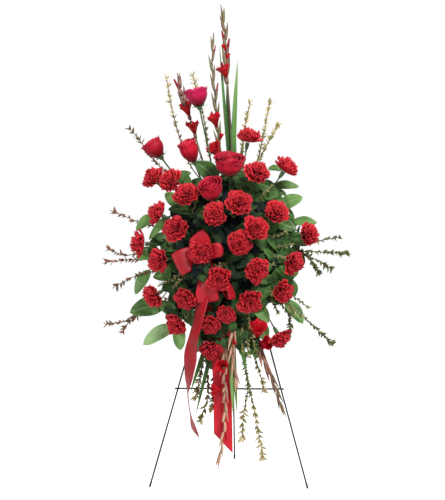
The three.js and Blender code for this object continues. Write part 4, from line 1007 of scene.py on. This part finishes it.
# Roses: five cupped heads of broad velvety petals with rolled rims, wound round a tight heart, on a
# green cup with five sepals. The top one is pinker than the others.

rose_pink, rose_red = [petal_finish(name, *colours, 0.5, 0.12, 0.2, 0.95) for name, *colours in (
    ("rose_pink", (0.18, 0.001, 0.014), (0.52, 0.008, 0.072), (0.62, 0.022, 0.12)),
    ("rose_red", (0.18, 0.001, 0.006), (0.41, 0.005, 0.022), (0.50, 0.014, 0.042)))]

# Each rose has its place, radius, height, how far it opens, how far its rim closes, and its finish
ROSES = [
    ("rose_top", (-93, -150, 1141), 28, 56, 0.08, 0.03, rose_pink),
    ("rose_left", (-220, -130, 992), 27, 58, 0.05, 0.35, rose_red),
    ("rose_bud", (-113, -175, 980), 25, 66, 0.02, 0.36, rose_red),
    ("rose_centre", (5, -215, 935), 38, 60, 0.1, 0.25, rose_red),
    ("rose_lower", (-47, -232, 862), 31, 62, 0.05, 0.4, rose_red),
]
# Layers from the outside in: petals, share of the radius and height, spread in radians, lip, pinch
LAYERS = [(5, 1.0, 1.0, 1.9, 5.0, 0.0), (4, 0.82, 1.0, 2.1, 2.5, 0.06), (3, 0.62, 1.0, 2.7, 1.0, 0.16),
          (2, 0.42, 0.99, 3.8, 0.4, 0.25), (2, 0.24, 0.96, 4.6, 0.0, 0.3)]

sepal_green = cloudy_finish("sepal_green", 160.0, [(0.3, (0.05, 0.13, 0.03)), (0.7, (0.13, 0.24, 0.06))],
                            (700.0, 3.0, 0.3, 0.0004), Roughness=0.55)

SEPALS, SEPAL_TURN = 5, 1.2566
chance = random.Random(8)
for node, place, radius, height, opened, shut, skin in ROSES:
    place = Vector(place)
    facing = (place - FOAM_HEART).normalized()
    move = turned_to(facing, place - facing * height / 2)
    bm = new_form()
    for count, share, tall, spread, lip, pinch in LAYERS:
        start = chance.uniform(0, 6)
        for k in range(count):
            angle = start + 2 * math.pi * (k + chance.uniform(-0.1, 0.1)) / count
            turn, rise = chance.uniform(0, 6), height * tall * chance.uniform(0.95, 1.02)

            def shape(across, along):
                swell = 0.3 + 0.7 * math.sin(min(2.6 * along, math.pi / 2 + shut))
                r = radius * share * (swell + (opened - pinch) * along * along)
                up = rise * along * (1 - 0.12 * across * across * along)
                roll = max(along - 0.78, 0) / 0.22
                curl = lip * roll * roll * (0.6 + 0.4 * math.sin(2.5 * across + turn))
                r += curl + 0.9 * along * across * across
                up -= 0.5 * lip * roll ** 3
                r += 0.7 * along * math.sin(4 * across + turn) + 0.5 * k
                swing = angle + across * spread / 2 * (0.45 + 0.55 * math.sin(min(1.8 * along, 1.57)))
                return move @ Vector((r * math.cos(swing), r * math.sin(swing), max(up, 0.2)))
            blade(bm, 12, 10, shape, 0, chance.uniform(0, 1))
    for k in range(SEPALS):
        angle, droop = k * SEPAL_TURN + 0.4, chance.uniform(0.2, 1.0)

        def sepal(across, along):
            r = 4.5 + radius * 0.8 * along ** 0.8
            up = -1 + height * (0.2 * along * along - 0.16 * droop * along)
            half = 4.4 * math.sin(math.pi * (0.15 + 0.85 * along) ** 0.8)
            swing = angle + across * half / max(r, 7)
            return move @ Vector((r * math.cos(swing), r * math.sin(swing), up))
        blade(bm, 2, 6, sepal, 1, 0.5)
    rose = made_piece(node + "_head", bm, skin, sepal_green, thick=0.7)
    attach(rose, "spray")
    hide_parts(node)
    stems.append((place, facing, height / 2 + CUP_GAP, *ROSE_CUP))


# The carnations' and roses' stems run straight from the heart of the foam and bend under their heads,
# where they widen to a green cup. Carnation stems have swollen joints.

stem_green = cloudy_finish("stem_green", 60.0, [(0.3, (0.018, 0.055, 0.014)), (0.7, (0.065, 0.13, 0.04))],
                           (900.0, 3.0, 0.3, 0.0004), Roughness=0.6)

JOINT_GAP, JOINT = 60, 5        # from one swollen joint of a stem to the next, and half a joint's length
HEART = 26                      # radius of the ball in the foam where the stems meet
runs = []
for place, facing, base, cup, long, thick in stems:
    end = place - facing * base
    knee = end - facing * long
    far = (knee - FOAM_HEART).length
    run = [(FOAM_HEART, thick)]
    for k in range(1, int(far / JOINT_GAP)):
        joint = FOAM_HEART.lerp(knee, k * JOINT_GAP / far)
        run += [(joint.lerp(FOAM_HEART, JOINT / far), thick), (joint, thick + 0.9),
                (joint.lerp(knee, JOINT / far), thick)]
    run += [(knee.lerp(FOAM_HEART, 8 / far), thick), (knee + facing * 3, thick + 0.4),
            (knee + facing * long * 0.3, cup * 0.72), (knee + facing * long * 0.6, cup * 0.92),
            (end - facing * 2, cup), (end, cup * 0.96)]
    runs.append(run)
bm = new_form()
wires(bm, runs, 0, 2)
bmesh.ops.create_icosphere(bm, subdivisions=2, radius=HEART, matrix=Matrix.Translation(FOAM_HEART))
bundle = made_piece("flower_stems_bundle", bm, stem_green)
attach(bundle, "spray")
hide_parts("flower_stems")


# The bow is red satin ribbon about 60 mm wide: five loops gathered in a knot and two tails that hang
# from it. Each loop is its own length of ribbon, doubled back on itself and pinched at the knot.

KNOT = Vector((-64, -224, 664))
KNOT_WIDE = 34
SATIN_THICK = 0.8
LOOP_LENGTH = 2.1               # a loop's ribbon for each unit from the knot to its fold: there and back
# Each loop runs by a place to its folded edge between two others; then how far it puffs out, its
# waist at the knot as a share of its width, how soon it is full, how evenly it gets there, how far
# the corners of its fold draw back, and how light it is painted, where less than 1 is painted shade
LOOPS = [
    ("bow_loop_left", (-98, -236, 680), (-131, -254, 616), (-162, -250, 678), 13, 0.55, 0.5, 0.8, 2, 0.62),
    ("bow_loop_top", (-64, -229, 717), (-114, -236, 719), (-74, -238, 753), 12, 0.75, 0.5, 0.8, 4, 0.85),
    ("bow_loop_right", (-46, -236, 696), (-12, -246, 710), (-12, -246, 668), 15, 0.5, 0.5, 0.8, 10, 0.85),
    ("bow_loop_lower", (-60, -238, 630), (-24, -248, 546), (-90, -242, 538), 13, 0.2, 0.85, 1.3, 3, 0.8),
    ("bow_loop_small", (-16, -196, 614), (4, -256, 550), (24, -234, 554), 13, 0.5, 0.5, 0.8, 2, 0.76),
]

satin, tree, shader = finish(
    "red_satin", Roughness=0.38, Sheen_Weight=0.1, Sheen_Roughness=0.3, Specular_IOR_Level=0.3)
weave = streaked(tree, 60.0, 6.0)
cloth = ramp(tree, scaled(tree, weave, 0.35, scaled(tree, mottled(tree, 30.0), 0.65)),
             (0.3, (0.38, 0.005, 0.014)), (0.7, (0.60, 0.014, 0.028)))
hem = reckon(tree, "GREATER_THAN", off_middle(tree, own_map(tree)[0]), 0.47)
hemmed = blended(tree, hem, cloth, (0.46, 0.006, 0.015, 1))
# Each ribbon piece's tint darkens or lightens the satin: painted shade and painted light, piece by piece
paint(tree, shader, dimmed(tree, hemmed, own_tint(tree)))
set_bump(tree, shader, weave, 0.25, 0.0003)


def ribbon_loop(bm, via, one, other, puff, waist, full, even, corners, light):
    """A teardrop of ribbon from the knot to its folded edge and back, gathered towards the knot"""
    edge = other - one
    tip = one.lerp(other, 0.5)
    run = (tip - via).normalized()
    front = run.cross(edge).normalized()
    front *= -1 if front.y > 0 else 1

    def shape(across, along):
        sway = 2 * math.pi * along
        share = (1 - math.cos(sway)) / 2
        deep = puff * math.sin(sway) * (0.3 + 0.7 * share)
        narrow = waist + (1 - waist) * min(1.0, share / full) ** even
        pleat = 0.09 * edge.length * (1 - narrow) * math.sin(2.5 * math.pi * across + puff)
        pleat += 1.4 * math.sin(4 * share + puff) * across
        middle = KNOT * (1 - share) ** 2 + via * 2 * share * (1 - share) + tip * share * share
        back = corners * abs(across) ** 2.5 * share ** 3
        return middle + front * (deep + pleat) + edge * across / 2 * narrow - run * back
    blade(bm, 12, 48, shape, 0, light)


loop_pieces = []
for name, *places, puff, waist, full, even, corners, light in LOOPS:
    via, one, other = [Vector(place) for place in places]
    bm = new_form()
    ribbon_loop(bm, via, one, other, puff, waist, full, even, corners, light)
    loop = made_piece(name, bm, satin, thick=SATIN_THICK)
    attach(loop, "spray")
    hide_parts("ribbon_bow")
    long = LOOP_LENGTH * (one.lerp(other, 0.5) - KNOT).length
    loop_pieces.append((loop, long / 1000, (other - one).length / 1000))

# The knot is a short band of the ribbon, wrapped round the gathered loops
bm = new_form()


def knot_band(across, along):
    sway = 2 * math.pi * along
    crease = 1.4 * math.sin(3 * math.pi * across + 1) + 0.8 * math.sin(2 * sway)
    bulge = 1 - 0.28 * across * across
    out, up = 15 * bulge + crease * 0.6, 17 * bulge + crease
    return KNOT + Vector((across * KNOT_WIDE / 2, -out * math.sin(sway), up * math.cos(sway)))


# The knot is painted a little darker: painted shade
blade(bm, 10, 36, knot_band, 0, 0.8)
bmesh.ops.remove_doubles(bm, verts=bm.verts, dist=0.01)
knot = made_piece("bow_knot", bm, satin, thick=SATIN_THICK)
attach(knot, "spray")
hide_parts("ribbon_bow")

# Each tail has its width, the slant of its cut end, how light it is painted (painted shade below 1,
# painted light above 1), its turns on the way and its route
TAILS = [
    ("ribbon_streamer_left", 60, 20, 0.75, (0.9, 1.1, 1.0, 0.9, 1.1, 1.36, 1.46, 1.2), [
        (-72, -238, 560), (-84, -240, 497), (-102, -228, 424), (-110, -216, 347), (-115, -208, 283),
        (-110, -204, 225), (-96, -200, 162)]),
    ("ribbon_streamer_centre", 54, 58, 1.15, (0, 0.1, 0, -0.1, 0, 0), [
        (-42, -205, 560), (-31, -186, 470), (-22, -176, 380), (-18, -178, 290), (-16, -180, 200),
        (-15, -180, 130)]),
]

tail_pieces = []
for node, wide, slant, light, angles, route in TAILS:
    line = smooth(route)

    def shape(across, along):
        place, run = spot(line, along)
        k = min(int(along * (len(angles) - 1)), len(angles) - 2)
        between = along * (len(angles) - 1) - k
        between = between * between * (3 - 2 * between)
        angle = angles[k] + (angles[k + 1] - angles[k]) * between
        side = Vector((math.cos(angle), -math.sin(angle), 0))
        side = (side - run * side.dot(run)).normalized()
        up = side.cross(run)
        curl = 2.2 * math.sin(5 * along * math.pi) * across
        curl += 1.6 * math.sin(2 * math.pi * along + 1) * (across * across)
        cut = slant * across / 2 * max(along - 0.9, 0) / 0.1
        return place + side * across * wide / 2 + up * curl + run * cut
    bm = new_form()
    blade(bm, 10, 60, shape, 0, light)
    tail = made_piece(node + "_satin", bm, satin, thick=SATIN_THICK)
    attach(tail, "spray")
    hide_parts(node)
    tail_pieces.append((tail, length_of(line) / 1000, wide / 1000))

for loop, long, wide in loop_pieces:
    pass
for tail, long, wide in tail_pieces:
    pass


# The stage: a plain white floor and backdrop, a large soft lamp high at the right and weaker ones at
# the left and behind. The camera stands in front, a little to the right.

bpy.ops.mesh.primitive_plane_add(size=30, location=(0, 0, 0))
ground = bpy.context.object
ground.name = "floor"
floor_white, tree, shader = finish("floor_white", Roughness=0.9, Specular_IOR_Level=0.0)
shader.inputs["Base Color"].default_value = (0.75, 0.75, 0.75, 1)
shader.inputs["Emission Color"].default_value = (1, 1, 1, 1)
seen = add(tree, "ShaderNodeLightPath").outputs["Is Camera Ray"]
tree.links.new(scaled(tree, seen, 0.72), shader.inputs["Emission Strength"])
ground.data.materials.append(floor_white)

world = bpy.data.worlds.new("studio")
bpy.context.scene.world = world
world.use_nodes = True
sky = world.node_tree.nodes["Background"]
sky.inputs["Color"].default_value = (1, 1, 1, 1)
seen = add(world.node_tree, "ShaderNodeLightPath").outputs["Is Camera Ray"]
world.node_tree.links.new(scaled(world.node_tree, seen, 0.62, 0.38), sky.inputs["Strength"])


def lamp(name, place, wide, power):
    """A round soft lamp that looks at the middle of the spray"""
    light = bpy.data.lights.new(name, "AREA")
    light.shape, light.size, light.energy = "DISK", wide, power
    made = bpy.data.objects.new(name, light)
    made.location = place
    made.rotation_euler = (Vector((0, 0, 0.75)) - Vector(place)).to_track_quat("-Z", "Y").to_euler()
    bpy.context.scene.collection.objects.link(made)


lamp("key", (1.3, -2.4, 2.7), 1.1, 104)
lamp("fill", (-2.0, -2.2, 1.2), 1.6, 30)
lamp("back", (-0.6, 2.2, 2.4), 1.2, 40)

lens = bpy.data.cameras.new("camera")
lens.lens, lens.sensor_width, lens.clip_end = 82.3, 36, 50
camera = bpy.data.objects.new("camera", lens)
camera.location = (0.1468, -3.4970, 0.692)
camera.rotation_euler = (math.pi / 2, 0, math.radians(2.83))
bpy.context.scene.collection.objects.link(camera)
bpy.context.scene.camera = camera
bpy.context.scene.view_settings.view_transform = "Standard"
